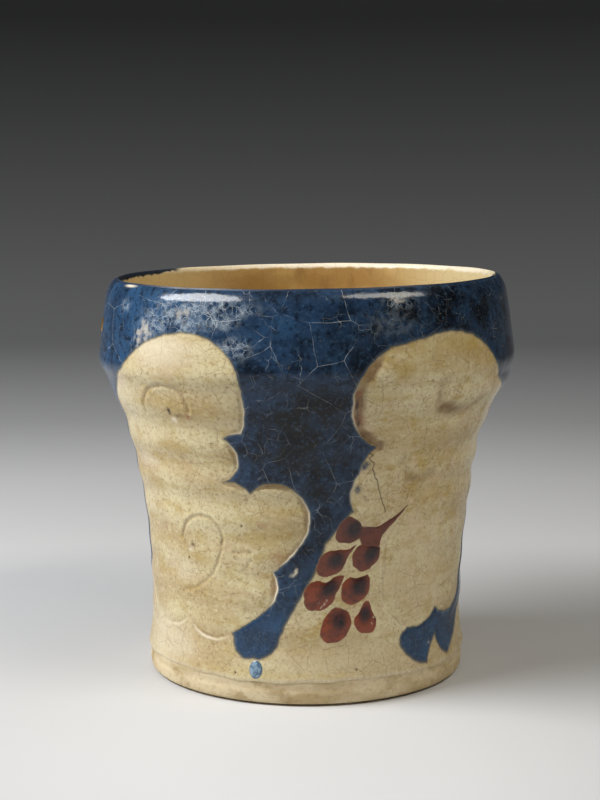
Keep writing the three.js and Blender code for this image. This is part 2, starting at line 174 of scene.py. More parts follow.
STAINS = (  # nearly black spots
    (13.6, 71.9, 0.5, 2.1, 0.95), (14, 69.4, 0.5, 2, 0.6), (14.6, 67.2, 0.5, 1.4, 0.8),
    (-41.4, 69.1, 0.8, 1.5, 0.85), (-38.2, 68.1, 2.6, 0.7, 0.5), (-42.3, 33.3, 1.3, 0.7, 0.65),
    (-44.6, 29.7, 0.6, 0.5, 0.8), (74.4, 44.5, 1, 3, 0.7),
)
RUSTS = (  # spots of iron
    (-35, 68.1, 1, 0.8, 0.8), (13.9, 75, 0.9, 0.9, 0.7), (15.2, 67.6, 1.6, 3.4, 0.4),
    (17.6, 58.4, 1.4, 0.9, 0.5), (-14.6, 40.7, 2.4, 1.2, 0.35), (-8.8, 32.3, 4, 3, 0.3),
    (-11.5, 24, 1.6, 4, 0.35),
)
PAINTED_GLINTS = (  # painted highlights: glints laid on as bright pale flecks
    (-40.6, 67, 1.3, 1, 0.9), (-43.4, 32, 1.4, 0.8, 0.6), (-59.6, 99.8, 3.8, 0.5, 1),
    (-4.7, 28, 1.1, 0.5, 1), (-3.7, 28.8, 0.45, 1.1, 1), (48.4, 6.6, 0.7, 0.6, 0.5),
)
SMEARS = (  # blue that strayed onto a leaf
    (17.3, 55.7, 1.9, 1.2, 1), (18.4, 56.5, 1.4, 0.9, 0.9), (16.1, 49.9, 1.1, 1.5, 0.95),
)
HAZE_AND_SHEEN = (  # milky places in the blue, and a painted sheen below the key light's highlight on the upper left
    (-30, 96, 18, 2.6, 0.65), (-38, 93.3, 11, 5, 0.65), (-33, 91, 5, 6, 0.7),
    (-25, 93, 9, 4.5, 0.5), (-20, 95.4, 9, 2.8, 0.5), (-45, 91, 6, 4, 0.65), (-58, 95, 3, 2.4, 0.5),
    (-19, 86.2, 6, 4, 0.55), (25, 96.6, 6, 2.2, 0.5), (22, 92, 9, 5, 0.2), (150, 93, 22, 4, 0.6),
    (-120, 90, 14, 6, 0.5),
)
TONES = (  # from 0, deep and dark, to 1, clear cobalt
    (-48, 90, 22, 18, 1), (-80, 84, 26, 26, 0.9), (2, 91, 22, 9, 0.55), (0, 64, 18, 20, 0.04),
    (48, 90, 30, 20, 0.16), (78, 70, 22, 40, 0.3), (-2, 36, 14, 14, 0.2), (-16, 11, 14, 10, 0.7),
    (54, 8, 22, 10, 0.7), (150, 86, 32, 18, 0.7), (-130, 80, 26, 24, 0.5),
)
MILKS_AND_SHEEN = (  # clotted white in the blue; the last one is a painted highlight where the right highlight runs down
    (-47.6, 89.2, 4, 3.6, 0.7), (-49.6, 86.9, 2.6, 2.6, 0.5), (-34, 94.6, 4, 2.6, 0.4),
    (24.4, 97.3, 2.4, 1.6, 0.5),
)
OLIVES = (  # brownish places in the blue
    (22, 92, 9, 6, 0.7), (2, 62, 16, 20, 0.85), (14, 82, 12, 9, 0.35), (50, 92, 24, 14, 0.55),
    (178, 64, 16, 18, 0.7),
)
BUBBLES = (  # burst bubbles in the slip of the front grapes
    (5, 19.6, 0.35, 0.3, 1), (6, 20.3, 0.3, 0.3, 0.9), (4, 20.8, 0.3, 0.25, 0.7),
    (6.8, 21.2, 0.25, 0.25, 0.8), (23.7, 16, 0.35, 0.35, 0.8), (23, 14.5, 0.3, 0.25, 0.6),
    (13.2, 14, 0.25, 0.25, 0.6),
)


# Settings

def linear(values):
    """Display values from 0 to 255 as the shares that the shaders work with."""
    shares = [value / 255 for value in values]
    return [share / 12.92 if share < 0.04045 else ((share + 0.055) / 1.055) ** 2.4 for share in shares]


def length(name, description, default):
    return bpy.props.FloatProperty(
        name=name, description=description, default=default, unit="LENGTH", precision=4
    )


def colour(name, description, *values):
    """A colour property whose default is given in display values."""
    return bpy.props.FloatVectorProperty(
        name=name, description=description, default=linear(values), subtype="COLOR", size=3, min=0, max=1
    )


def power(name, description, default):
    return bpy.props.FloatProperty(name=name, description=description, default=default, unit="POWER")


class VaseSizes(bpy.types.PropertyGroup):
    """Sizes of the turned body and of what is carved and laid on it"""

    height: length("Height", "From the foot to the crest of the lip", BLUE_BOX[1].z)
    shoulder_radius: length("Shoulder radius", "Widest place of the rim band", BLUE_BOX[1].x)
    glaze_line: length("Glaze line", "Height at which the bare foot ends", GROUND_BOX[0].z)
    glaze_line_radius: length("Glaze line radius", "Outside of the glaze at its lower edge", 60.9 * MM)
    foot_radius: length("Foot radius", "Outside of the bare foot", 60 * MM)
    foot_edge: length("Foot edge", "Bevel of the edge that the vase stands on", 1.5 * MM)
    foot_ring: length("Foot ring", "Width of the ring that the vase stands on", 10 * MM)
    foot_hollow: length("Foot hollow", "Depth of the hollow inside the foot ring", 2 * MM)
    waist_height: length("Waist height", "Height of the narrowest place", 25 * MM)
    waist_radius: length("Waist radius", "Radius at the narrowest place", 59.2 * MM)
    neck_drop: length("Neck drop", "From the lip down to the end of the flare", 34 * MM)
    neck_radius: length("Neck radius", "Radius at the end of the flare", 75.9 * MM)
    shoulder_drop: length("Shoulder drop", "From the lip down to the widest place", 27.5 * MM)
    rim_drop: length("Rim drop", "Height of the rounded lip", 5.58 * MM)
    rim_radius: length("Rim radius", "Radius where the lip starts to round over", 75.6 * MM)
    lip_wall: length("Lip wall", "Clay and glaze at the lip", 4.6 * MM)
    foot_wall: length("Foot wall", "Clay and glaze where the wall meets the floor", 8.5 * MM)
    floor: length("Floor", "Height of the glazed floor inside", 10 * MM)
    floor_fillet: length("Floor fillet", "Rounding between the floor and the wall", 9 * MM)
    coat: length("Glaze coat", "Thickness of a coat of glaze", 0.6 * MM)
    groove_depth: length("Groove depth", "Depth of the carved outline of a leaf", 0.95 * MM)
    scroll_depth: length("Scroll depth", "Depth of the lines cut into a leaf", 0.34 * MM)
    ring_pitch: length("Ring pitch", "Distance between the throwing rings", 13.6 * MM)
    ring_height: length("Ring height", "How far a throwing ring stands out", 0.38 * MM)
    lip_tilt: length("Lip tilt", "How far the right end of the lip stands above its middle", 0.97 * MM)
    slip: length("Slip", "Thickness of a grape or stem", 0.28 * MM)


class GlazeColours(bpy.types.PropertyGroup):
    """Colours of the clay, the glazes and the slips"""

    deep_blue: colour("Deep blue", "Cobalt glaze where it lies thick", 12, 17, 26)
    blue: colour("Blue", "Cobalt glaze", 38, 59, 85)
    cobalt: colour("Cobalt", "Cobalt glaze at its clearest", 46, 78, 112)
    thin_blue: colour("Thin blue", "Cobalt glaze where it thins out", 64, 92, 118)
    olive: colour("Olive", "Brownish places in the blue", 32, 31, 28)
    # Milky haze in the blue, also used as a painted sheen under the highlight
    milk_and_sheen: colour("Milk", "Haze in the blue", 172, 186, 197)
    # White curdled in the blue, and at one place a painted highlight
    clot_and_sheen: colour("Clot", "White curdled in the blue", 190, 184, 174)
    crackle: colour("Crackle", "Pale lines in the blue", 206, 212, 216)
    # Grey where blue and cream run into each other, also darkened as painted shade where the blue meets a
    # raised leaf
    seam: colour("Seam", "Where blue and cream run into each other", 88, 88, 80)
    run: colour("Run", "Blue run thinly over the lip", 28, 38, 52)
    cream: colour("Cream", "Clear glaze over clean clay", 219, 207, 165)
    tan: colour("Tan", "Clear glaze over darker clay", 190, 168, 124)
    ochre: colour("Ochre", "Stain that has soaked in along the rings", 184, 158, 92)
    rosy: colour("Rosy", "Clear glaze where the clay blushed", 208, 184, 146)
    # Brown is stain, and also painted shade in the hollows and cut lines
    brown: colour("Brown", "Stain in the grooves", 122, 86, 48)
    rust: colour("Rust", "Iron in the clay", 150, 80, 50)
    dark_stain: colour("Dark stain", "Nearly black spots and the crack", 52, 36, 26)
    # Pale is bare clay, and also serves for painted highlights and a painted sheen
    pale: colour("Pale", "Clay laid bare at a carved edge", 238, 227, 203)
    inside: colour("Inside", "Stained glaze of the inside", 216, 184, 122)
    inside_stain: colour("Inside stain", "Darker stains of the inside", 164, 124, 68)
    iron: colour("Iron red", "Slip of the lower grapes", 134, 60, 30)
    iron_brown: colour("Iron brown", "Slip of the upper grapes and the stem", 105, 53, 35)
    iron_dark: colour("Dark iron", "Slip of the grapes where it lies thick", 82, 38, 26)
    smudge: colour("Smudge", "Dark spot on a grape", 22, 18, 24)
    drop: colour("Drop", "Glaze of the stray drop", 136, 162, 182)
    clay: colour("Bare clay", "Unglazed foot", 220, 203, 166)
    clay_dark: colour("Bare clay stain", "Worn and stained places on the foot", 166, 142, 96)
    gold: colour("Gold", "Lacquered mend", 214, 172, 84)


class StageSettings(bpy.types.PropertyGroup):
    """Light of the stage"""

    key: power("Key light", "Wide softbox on the left", 13.5)
    fill: power("Fill light", "Narrow softbox on the right", 4.3)
    fill_tint: bpy.props.FloatVectorProperty(
        name="Fill tint",
        description="Colour of the fill light",
        default=(1, 0.935, 0.81),
        subtype="COLOR",
        size=3,
    )
    sky: bpy.props.FloatProperty(name="Sky", description="Even light from above", default=0.2, min=0)


def sizes():
    return bpy.context.scene.vase_sizes


def colours():
    return bpy.context.scene.glaze_colours


# The turned wall

LIP_CREST = 1.6 * MM  # rounding of the lip's crest
LIP_STEPS = 8  # from there to the inside
LIP_ARCS = (  # the lip's outside: elevations that its face looks to in degrees, radius and steps
    (10, 26, 9 * MM, 5),
    (26, 36, 17 * MM, 8),
    (36, 108, LIP_CREST, 9),
)

# How the soft clay settled. Where no unit is given, the value is a share of the radius.
OVAL = 0.003  # drawn out towards two sides near the lip
THREE_SIDED = 0.0012
DENT = 0.021  # in the right side
DENT_HEIGHT = 89 * MM
DENT_HALF = 13 * MM
SWELL_RIGHT = 0.026
SWELL_LEFT = 0.012
SWELL_HEIGHT = 112 * MM
SWELL_HALF = 9 * MM
LIP_SAG = 0.6 * MM  # the back of the lip lies this much lower
LIP_WAVE = 0.05 * MM


def smooth(value, low, high):
    """0 up to low, 1 from high on, with an easy step between."""
    way = np.clip((value - low) / (high - low), 0, 1)
    return way * way * (3 - 2 * way)


def hump(value, half):
    """1 where the value is 0, falling off to both sides."""
    return np.exp(-((value / half) ** 2))


def ridge(distance, height, away, half):
    """A ridge along a line, or a groove where the height is negative."""
    return height * hump(distance - away, half)


def curved(start, end, way, power):
    """The way from start to end along a power curve."""
    return start + (end - start) * np.clip(way, 0, 1) ** power


def rim_height():
    """Height at which the lip starts to round over."""
    return sizes().height - sizes().rim_drop


def rounded(start, arcs):
    """Points along arcs that run on from each other, each given by its first and last elevation in
    degrees, its radius and its count of steps."""
    points = [start]
    for first, last, radius, count in arcs:
        begin = points[-1]
        for angle in np.radians(np.linspace(first, last, count + 1)[1:]):
            out = math.cos(angle) - math.cos(math.radians(first))
            up = math.sin(angle) - math.sin(math.radians(first))
            points.append((begin[0] + radius * out, begin[1] + radius * up))
    return points


def lip_outside():
    """The lip from where it starts to round over, across its crest to where the blue ends."""
    return rounded((sizes().rim_radius, rim_height()), LIP_ARCS)


def lip_inside():
    """The rest of the lip, down to the inside."""
    return rounded(lip_outside()[-1], [(LIP_ARCS[-1][1], 180, LIP_CREST, LIP_STEPS)])


def wall_radius(z):
    """Radius of the glazed outside at a height, up to the lip."""
    s = sizes()
    neck = s.height - s.neck_drop
    shoulder = s.height - s.shoulder_drop
    rim = rim_height()
    to_foot = (s.waist_height - z) / (s.waist_height - s.glaze_line)
    foot = curved(s.waist_radius, s.glaze_line_radius, to_foot, 2)
    flare = curved(s.waist_radius, s.neck_radius, (z - s.waist_height) / (neck - s.waist_height), 2.3)
    bend = curved(s.shoulder_radius, s.neck_radius, (shoulder - z) / (shoulder - neck), 2)
    band = curved(s.shoulder_radius, s.rim_radius, (z - shoulder) / (rim - shoulder), 1.5)
    return np.select([z < s.waist_height, z < neck, z < shoulder], [foot, flare, bend], band)


def inside_radius(z):
    """Radius of the glazed inside at a height below the lip."""
    s = sizes()
    way = np.clip((z - s.floor) / (s.height - s.floor), 0, 1)
    return wall_radius(z) - s.foot_wall - (s.lip_wall - s.foot_wall) * way


def quarter(middle, reach, rise, start, end, count):
    """Points on an ellipse between two angles in quarter turns, without the first one."""
    angles = np.linspace(start, end, count + 1)[1:] * math.pi / 2
    return [(middle[0] + reach * math.cos(angle), middle[1] + rise * math.sin(angle)) for angle in angles]


def settled(points):
    """Moves points as the soft clay did: the lip stands higher on the right and sags at the back, the body
    isn't quite round, and its sides swell under the rim, the right one over a dent."""
    s = sizes()
    x, y, z = points.T
    angle = np.arctan2(x, -y)
    up = smooth(z, 0.4 * s.height, s.height)
    right = np.clip(np.sin(angle), 0, 1) ** 2
    left = np.clip(-np.sin(angle), 0, 1) ** 2
    dent = DENT * hump(z - DENT_HEIGHT, DENT_HALF) * right
    swell = hump(z - SWELL_HEIGHT, SWELL_HALF) * (SWELL_RIGHT * right + SWELL_LEFT * left)
    stretch = 1 + OVAL * up * np.cos(2 * angle + 0.7) + THREE_SIDED * np.sin(3 * angle + z / (30 * MM))
    stretch = stretch * (1 + swell - dent)
    tilt = s.lip_tilt * up * x / s.rim_radius - LIP_SAG * up * np.clip(y / s.rim_radius, 0, 1)
    uneven = LIP_WAVE * smooth(z, rim_height(), s.height) * (np.sin(5 * angle) + np.sin(13 * angle + 1))
    return np.column_stack((x * stretch, y * stretch, z + tilt + uneven))


# The pattern, drawn flat

OUTLINE_STEP = 1 * MM
MEASURED = 8 * MM  # distances to an outline are measured this far out
WAVER = 0.12 * MM  # how far a drawn line strays
SEAM = (0.3 * MM, 1.5 * MM)  # an edge counts as lying by the blue up to here, and in part up to there
SCROLL_HALF = 0.65 * MM  # half widths of what is cut with a point
CRACK_HALF = 0.2 * MM
PINHOLE_HALF = 0.45 * MM
BURR_AWAY = 1.4 * MM  # from the middle of a scroll
BURR_HALF = 0.6 * MM
DRAWN_INSIDE = 0.3 * MM  # a drawn edge lies this far inside its leaf
LEAST_CARVED = 0.1  # the groove along the blue where nothing is cut back
GROOVE_WIDTH = 1.2 * MM
CARVED_WIDER = 3 * MM  # by how much it is wider where the leaf is cut back
GROOVE_STEEP = 0.6 * MM  # widths of its sides, at the blue and on the leaf
GROOVE_FLAT = 1 * MM

# Relief along lines: (height, distance from the line, half width)
DRAWN_RIDGE = (0.2 * MM, 0.6 * MM, SCROLL_HALF)
TAIL_BEAD = (0.16 * MM, 1.6 * MM, 1.2 * MM)
HOLLOW = (-0.6 * MM, 0, 2.2 * MM)
CRACK_GAP = (-0.15 * MM, 0, CRACK_HALF)
PINHOLE = (-0.4 * MM, 0, PINHOLE_HALF)
GLAZE_ROLL = (0.22 * MM, 1 * MM, 0.6 * MM)  # above the glaze line
BURR_HEIGHT = 0.15 * MM
LEAF_RISE = 0.45 * MM  # how far a leaf stands out, and how wide its edge is rounded
LEAF_ROUNDING = 4 * MM
BLUE_RISE = 0.25 * MM  # the same of the blue
BLUE_ROUNDING = 0.9 * MM
GLAZE_EDGE = 0.35 * MM  # how far the glaze thins at its lower edge, and over which height
GLAZE_THINS = 1.2 * MM

# Heights between which something changes
BEADS_FADE = (75 * MM, 40 * MM)
RINGS_START = (14 * MM, 24 * MM)
RINGS_DEEPEN = (52 * MM, 76 * MM)
RINGS_FADE = (112 * MM, 124 * MM)
SMOOTH_LIP = (-12 * MM, -1 * MM)  # from where the lip starts to round over


def girth_radius():
    """Radius at which girths are counted."""
    return (sizes().waist_radius + sizes().neck_radius) / 2


def to_flat(degrees, percent):
    """The flat place at degrees round the wall and percent of the glazed height."""
    s = sizes()
    height = s.glaze_line + percent / 100 * (s.height - s.glaze_line)
    return np.array((math.radians(degrees) * girth_radius(), height))


def flat_of(points):
    """The flat places of points."""
    angle = np.arctan2(points[:, 0], -points[:, 1])
    return np.column_stack((angle * girth_radius(), points[:, 2]))


def on_vase(flat, radius):
    """Points over flat places at a radius."""
    angle = flat[:, 0] / girth_radius()
    return np.column_stack((radius * np.sin(angle), -radius * np.cos(angle), flat[:, 1]))


def wrapped(girth, turns):
    """Girths brought into one turn, or half a turn, round the front."""
    span = turns * 2 * math.pi * girth_radius()
    return girth - span * np.round(girth / span)


def folded(flat):
    """Flat points brought to the front half, of which the back is a copy turned by half a turn."""
    return np.column_stack((wrapped(flat[:, 0], 0.5), flat[:, 1]))


def reach_from(flat, degrees, percent, wide, high):
    """Square of the distance from a place, counted in its half width and half height."""
    offset = flat - to_flat(degrees, percent)
    return (wrapped(offset[:, 0], 1) / (wide * MM)) ** 2 + (offset[:, 1] / (high * MM)) ** 2


def blots(flat, places):
    """How strongly a list of places marks flat points, from 0 to 1."""
    strength = np.zeros(len(flat))
    for *place, most in places:
        strength = np.maximum(strength, most * np.exp(-(reach_from(flat, *place) ** 1.5)))
    return strength


def tone_at(flat):
    """How clear the blue is at flat points."""
    tone = np.full(len(flat), 0.4)
    for *place, value in TONES:
        tone += (value - tone) * np.exp(-reach_from(flat, *place))
    return tone


def arc(start, end, bulge):
    """Points along an arc of the given bulge, without its last one."""
    chord = end - start
    count = max(2, math.ceil(np.hypot(*chord) * (1 + bulge**2) / OUTLINE_STEP))
    way = np.linspace(-1, 1, count + 1)[:-1]
    along = way
    rise = np.zeros(count)
    if bulge:
        half = 2 * math.atan(bulge)
        along = np.sin(half * way) / math.sin(half)
        rise = (np.cos(half * way) - math.cos(half)) / math.sin(half)
    out = np.array((-chord[1], chord[0]))
    return start + np.outer((along + 1) / 2, chord) + np.outer(rise / 2, out)


def wavering(flat):
    """Flat points moved as a hand wavers, alike on the front and the back."""
    angle = flat[:, 0] / girth_radius()
    z = flat[:, 1] / MM
    aside = np.sin(0.9 * z + 68 * angle) + 0.6 * np.sin(1.7 * z - 120 * angle + 1)
    up = np.sin(72 * angle - 0.8 * z + 2) + 0.6 * np.sin(116 * angle + 1.5 * z)
    return flat + WAVER * np.column_stack((aside, up))


def traced(corners, closed, turn=0):
    """The points of an outline or an open line of arcs."""
    ends = [to_flat(corner[0] + turn, corner[1]) for corner in corners]
    following = ends[1:] + ends[:1] if closed else ends[1:]
    arcs = [arc(start, end, corner[2]) for start, end, corner in zip(ends, following, corners)]
    return wavering(np.vstack([*arcs, following[-1]]))


def measured(flat, path):
    """For each flat point its distance to a path, the step to it, and whether the path goes round it."""
    low = path.min(0) - MEASURED
    high = path.max(0) + MEASURED
    chosen = np.flatnonzero(np.all((flat > low) & (flat < high), axis=1))
    near = flat[chosen]
    best = np.full(len(near), MEASURED**2)
    step = np.zeros_like(near)
    within = np.zeros(len(near), bool)
    for start, end in zip(path, path[1:]):
        side = end - start
        way = np.clip((near - start) @ side / (side @ side), 0, 1)
        offset = start + np.outer(way, side) - near
        reach = (offset**2).sum(1)
        closer = reach < best
        best[closer] = reach[closer]
        step[closer] = offset[closer]
        if side[1]:
            spans = (start[1] > near[:, 1]) != (end[1] > near[:, 1])
            within ^= spans & (near[:, 0] < start[0] + (near[:, 1] - start[1]) * side[0] / side[1])
    distance = np.full(len(flat), MEASURED)
    steps = np.zeros_like(flat)
    inside = np.zeros(len(flat), bool)
    distance[chosen] = np.sqrt(best)
    steps[chosen] = step
    inside[chosen] = within
    return distance, steps, inside


class Pattern:
    """Where flat points lie in the pattern. Distances are negative inside a leaf and inside the blue."""

    def __init__(self, flat):
        self.flat = flat
        near = folded(flat)
        self.leaf, self.leaf_step = self.signed(near, [traced(LEFT_LEAF, True), traced(RIGHT_LEAF, True)])
        tails = [traced(FRONT_TAIL, True), traced(SIDE_TAIL, True), traced(SIDE_TAIL, True, -180)]
        self.blue, self.blue_step = self.signed(near, tails)
        self.blue = np.minimum(self.blue, to_flat(0, RIM_BAND_FROM)[1] - flat[:, 1])
        cuts = [(strength, self.closest(near, [line])) for strength, line in SCROLLS]
        self.scroll = np.min([distance for _, distance in cuts], axis=0)
        self.cut = self.strongest(cuts, 0, SCROLL_HALF)
        self.burr = self.strongest(cuts, BURR_AWAY, BURR_HALF)
        self.hollow = self.closest(near, HOLLOWS)
        self.crack = self.closest(flat, [CRACK])
        holes = np.array([to_flat(*hole) for hole in PINHOLES])
        self.pinhole = np.hypot(*(flat[:, None] - holes).transpose(2, 0, 1)).min(1)
        self.by_blue = 1 - smooth(self.blue, *SEAM)
        self.carved = blots(near, CARVED) * self.by_blue
        self.bare = blots(near, BARE) * self.by_blue
        self.drawn = blots(near, DRAWN) * (1 - self.by_blue)
        width = GROOVE_WIDTH + CARVED_WIDER * self.carved
        self.groove = smooth(-self.leaf, 0, GROOVE_STEEP)
        self.groove *= 1 - smooth(-self.leaf, width - GROOVE_FLAT, width)

    def signed(self, flat, paths):
        """The signed distances to closed paths, and the steps to the nearest one."""
        least = np.full(len(flat), np.inf)
        steps = np.zeros_like(flat)
        for path in paths:
            distance, step, inside = measured(flat, path)
            distance = np.where(inside, -distance, distance)
            closer = distance < least
            least[closer] = distance[closer]
            steps[closer] = step[closer]
        return least, steps

    def closest(self, flat, lines):
        """The distances to the nearest of some open lines."""
        return np.min([measured(flat, traced(line, False))[0] for line in lines], axis=0)

    def strongest(self, cuts, away, half):
        """How strongly lines mark the places a distance beside them."""
        return np.max([strength * hump(distance - away, half) for strength, distance in cuts], axis=0)

    def relief(self):
        """How far the glazed surface stands out from the plain turned wall."""
        s = sizes()
        z = self.flat[:, 1]
        height = -s.groove_depth * (LEAST_CARVED + self.carved) * self.by_blue * self.groove
        height -= s.scroll_depth * self.drawn * hump(self.leaf + DRAWN_INSIDE, SCROLL_HALF)
        height += self.drawn * ridge(self.leaf, *DRAWN_RIDGE)
        height += LEAF_RISE * (1 - hump(np.minimum(self.leaf, 0), LEAF_ROUNDING))
        into_blue = np.clip(np.minimum(self.leaf, -self.blue), 0, None)
        height += BLUE_RISE * (1 - hump(into_blue, BLUE_ROUNDING))
        height += ridge(into_blue, *TAIL_BEAD) * smooth(z, *BEADS_FADE)
        height += BURR_HEIGHT * self.burr - s.scroll_depth * self.cut
        height += ridge(self.hollow, *HOLLOW)
        height += ridge(self.crack, *CRACK_GAP)
        height += ridge(self.pinhole, *PINHOLE)
        height += self.rings()
        height *= 1 - smooth(z - rim_height(), *SMOOTH_LIP)
        height += ridge(z - s.glaze_line, *GLAZE_ROLL)
        return height - GLAZE_EDGE * (1 - smooth(z - s.glaze_line, 0, GLAZE_THINS))

    def rings(self):
        """The throwing rings, which climb once round the wall and are not all alike."""
        s = sizes()
        angle = self.flat[:, 0] / girth_radius()
        z = self.flat[:, 1]
        turn = 2 * math.pi * z / s.ring_pitch - angle + 1.5
        turn += 0.25 * np.sin(2 * angle + z / (20 * MM))
        uneven = 0.8 + 0.2 * np.sin(3 * angle + z / (25 * MM)) + 0.15 * np.sin(z / (7 * MM) + 2)
        fade = smooth(z, *RINGS_START) * (0.45 + 0.55 * smooth(z, *RINGS_DEEPEN))
        fade = fade * (1 - 0.8 * smooth(z, *RINGS_FADE))
        return s.ring_height * np.sin(turn) * uneven * fade


def on_glaze(flat, lift):
    """Points on the glazed outside at flat places, raised by a lift."""
    return settled(on_vase(flat, wall_radius(flat[:, 1]) + Pattern(flat).relief() + lift))


# Modelling

MERGED = 0.001 * MM  # points nearer than this are made one
SMOOTHED = math.radians(45)  # edges flatter than this are shaded smooth


def mode(name):
    bpy.ops.object.mode_set(mode=name)


def deselect():
    bpy.ops.object.select_all(action="DESELECT")


def activate(obj):
    deselect()
    obj.select_set(True)
    bpy.context.view_layer.objects.active = obj


def named(obj, name):
    obj.name = name
    obj.data.name = name
    return obj


def read(items, key, kind=np.int32, width=1):
    """One value, or one row of values, of each of a mesh's items."""
    values = np.empty(width * len(items), kind)
    items.foreach_get(key, values)
    return values.reshape(-1, width) if width > 1 else values


def points_of(obj):
    return read(obj.data.vertices, "co", np.float32, 3).astype(float)


def set_points(obj, points):
    obj.data.vertices.foreach_set("co", points.astype(np.float32).ravel())
    obj.data.update()


def set_attribute(obj, name, values):
    attribute = obj.data.attributes.new(name, "FLOAT", "POINT")
    attribute.data.foreach_set("value", np.clip(values, 0, 1).astype(np.float32))


def select(obj, kind, chosen):
    """Goes into Edit Mode with only the chosen points or faces selected."""
    activate(obj)
    mode("EDIT")
    bpy.ops.mesh.select_mode(type=kind)
    bpy.ops.mesh.select_all(action="DESELECT")
    mode("OBJECT")
    items = obj.data.vertices if kind == "VERT" else obj.data.polygons
    items.foreach_set("select", chosen)
    mode("EDIT")


def turned(name, profile, steps):
    """A profile of radius and height, turned once round the vase's axis."""
    deselect()
    bpy.ops.mesh.primitive_plane_add(size=MM)
    obj = named(bpy.context.object, name)
    mode("EDIT")
    bpy.ops.mesh.merge(type="CENTER")
    bpy.ops.transform.translate(value=(profile[0][0], 0, profile[0][1]))
    for before, after in zip(profile, profile[1:]):
        move = (after[0] - before[0], 0, after[1] - before[1])
        bpy.ops.mesh.extrude_region_move(TRANSFORM_OT_translate={"value": move})
    bpy.ops.mesh.select_all(action="SELECT")
    bpy.ops.mesh.remove_doubles(threshold=MERGED)
    mode("OBJECT")
    screw = obj.modifiers.new("Turn", "SCREW")
    screw.steps = steps
    screw.render_steps = steps
    screw.use_merge_vertices = True
    screw.merge_threshold = MERGED
    bpy.ops.object.modifier_apply(modifier=screw.name)
    face_outwards(obj, False)
    return obj


def face_outwards(obj, inside):
    """Turns all faces away from the axis, or towards it."""
    activate(obj)
    mode("EDIT")
    bpy.ops.mesh.select_all(action="SELECT")
    bpy.ops.mesh.normals_make_consistent(inside=inside)
    mode("OBJECT")


def thickened(obj, thickness):
    """Gives a sheet its thickness, on the side away from its faces."""
    activate(obj)
    solidify = obj.modifiers.new("Thickness", "SOLIDIFY")
    solidify.thickness = thickness
    solidify.offset = -1
    bpy.ops.object.modifier_apply(modifier=solidify.name)


def finished(obj, material, slot, *nodes):
    """Smooths a piece, glazes it and fixes it to the vase in place of its nodes of the frame."""
    activate(obj)
    bpy.ops.object.shade_smooth_by_angle(angle=SMOOTHED)
    obj.data.materials.clear()
    obj.data.materials.append(material)
    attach(obj, "root")
    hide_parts(*nodes)


# Materials

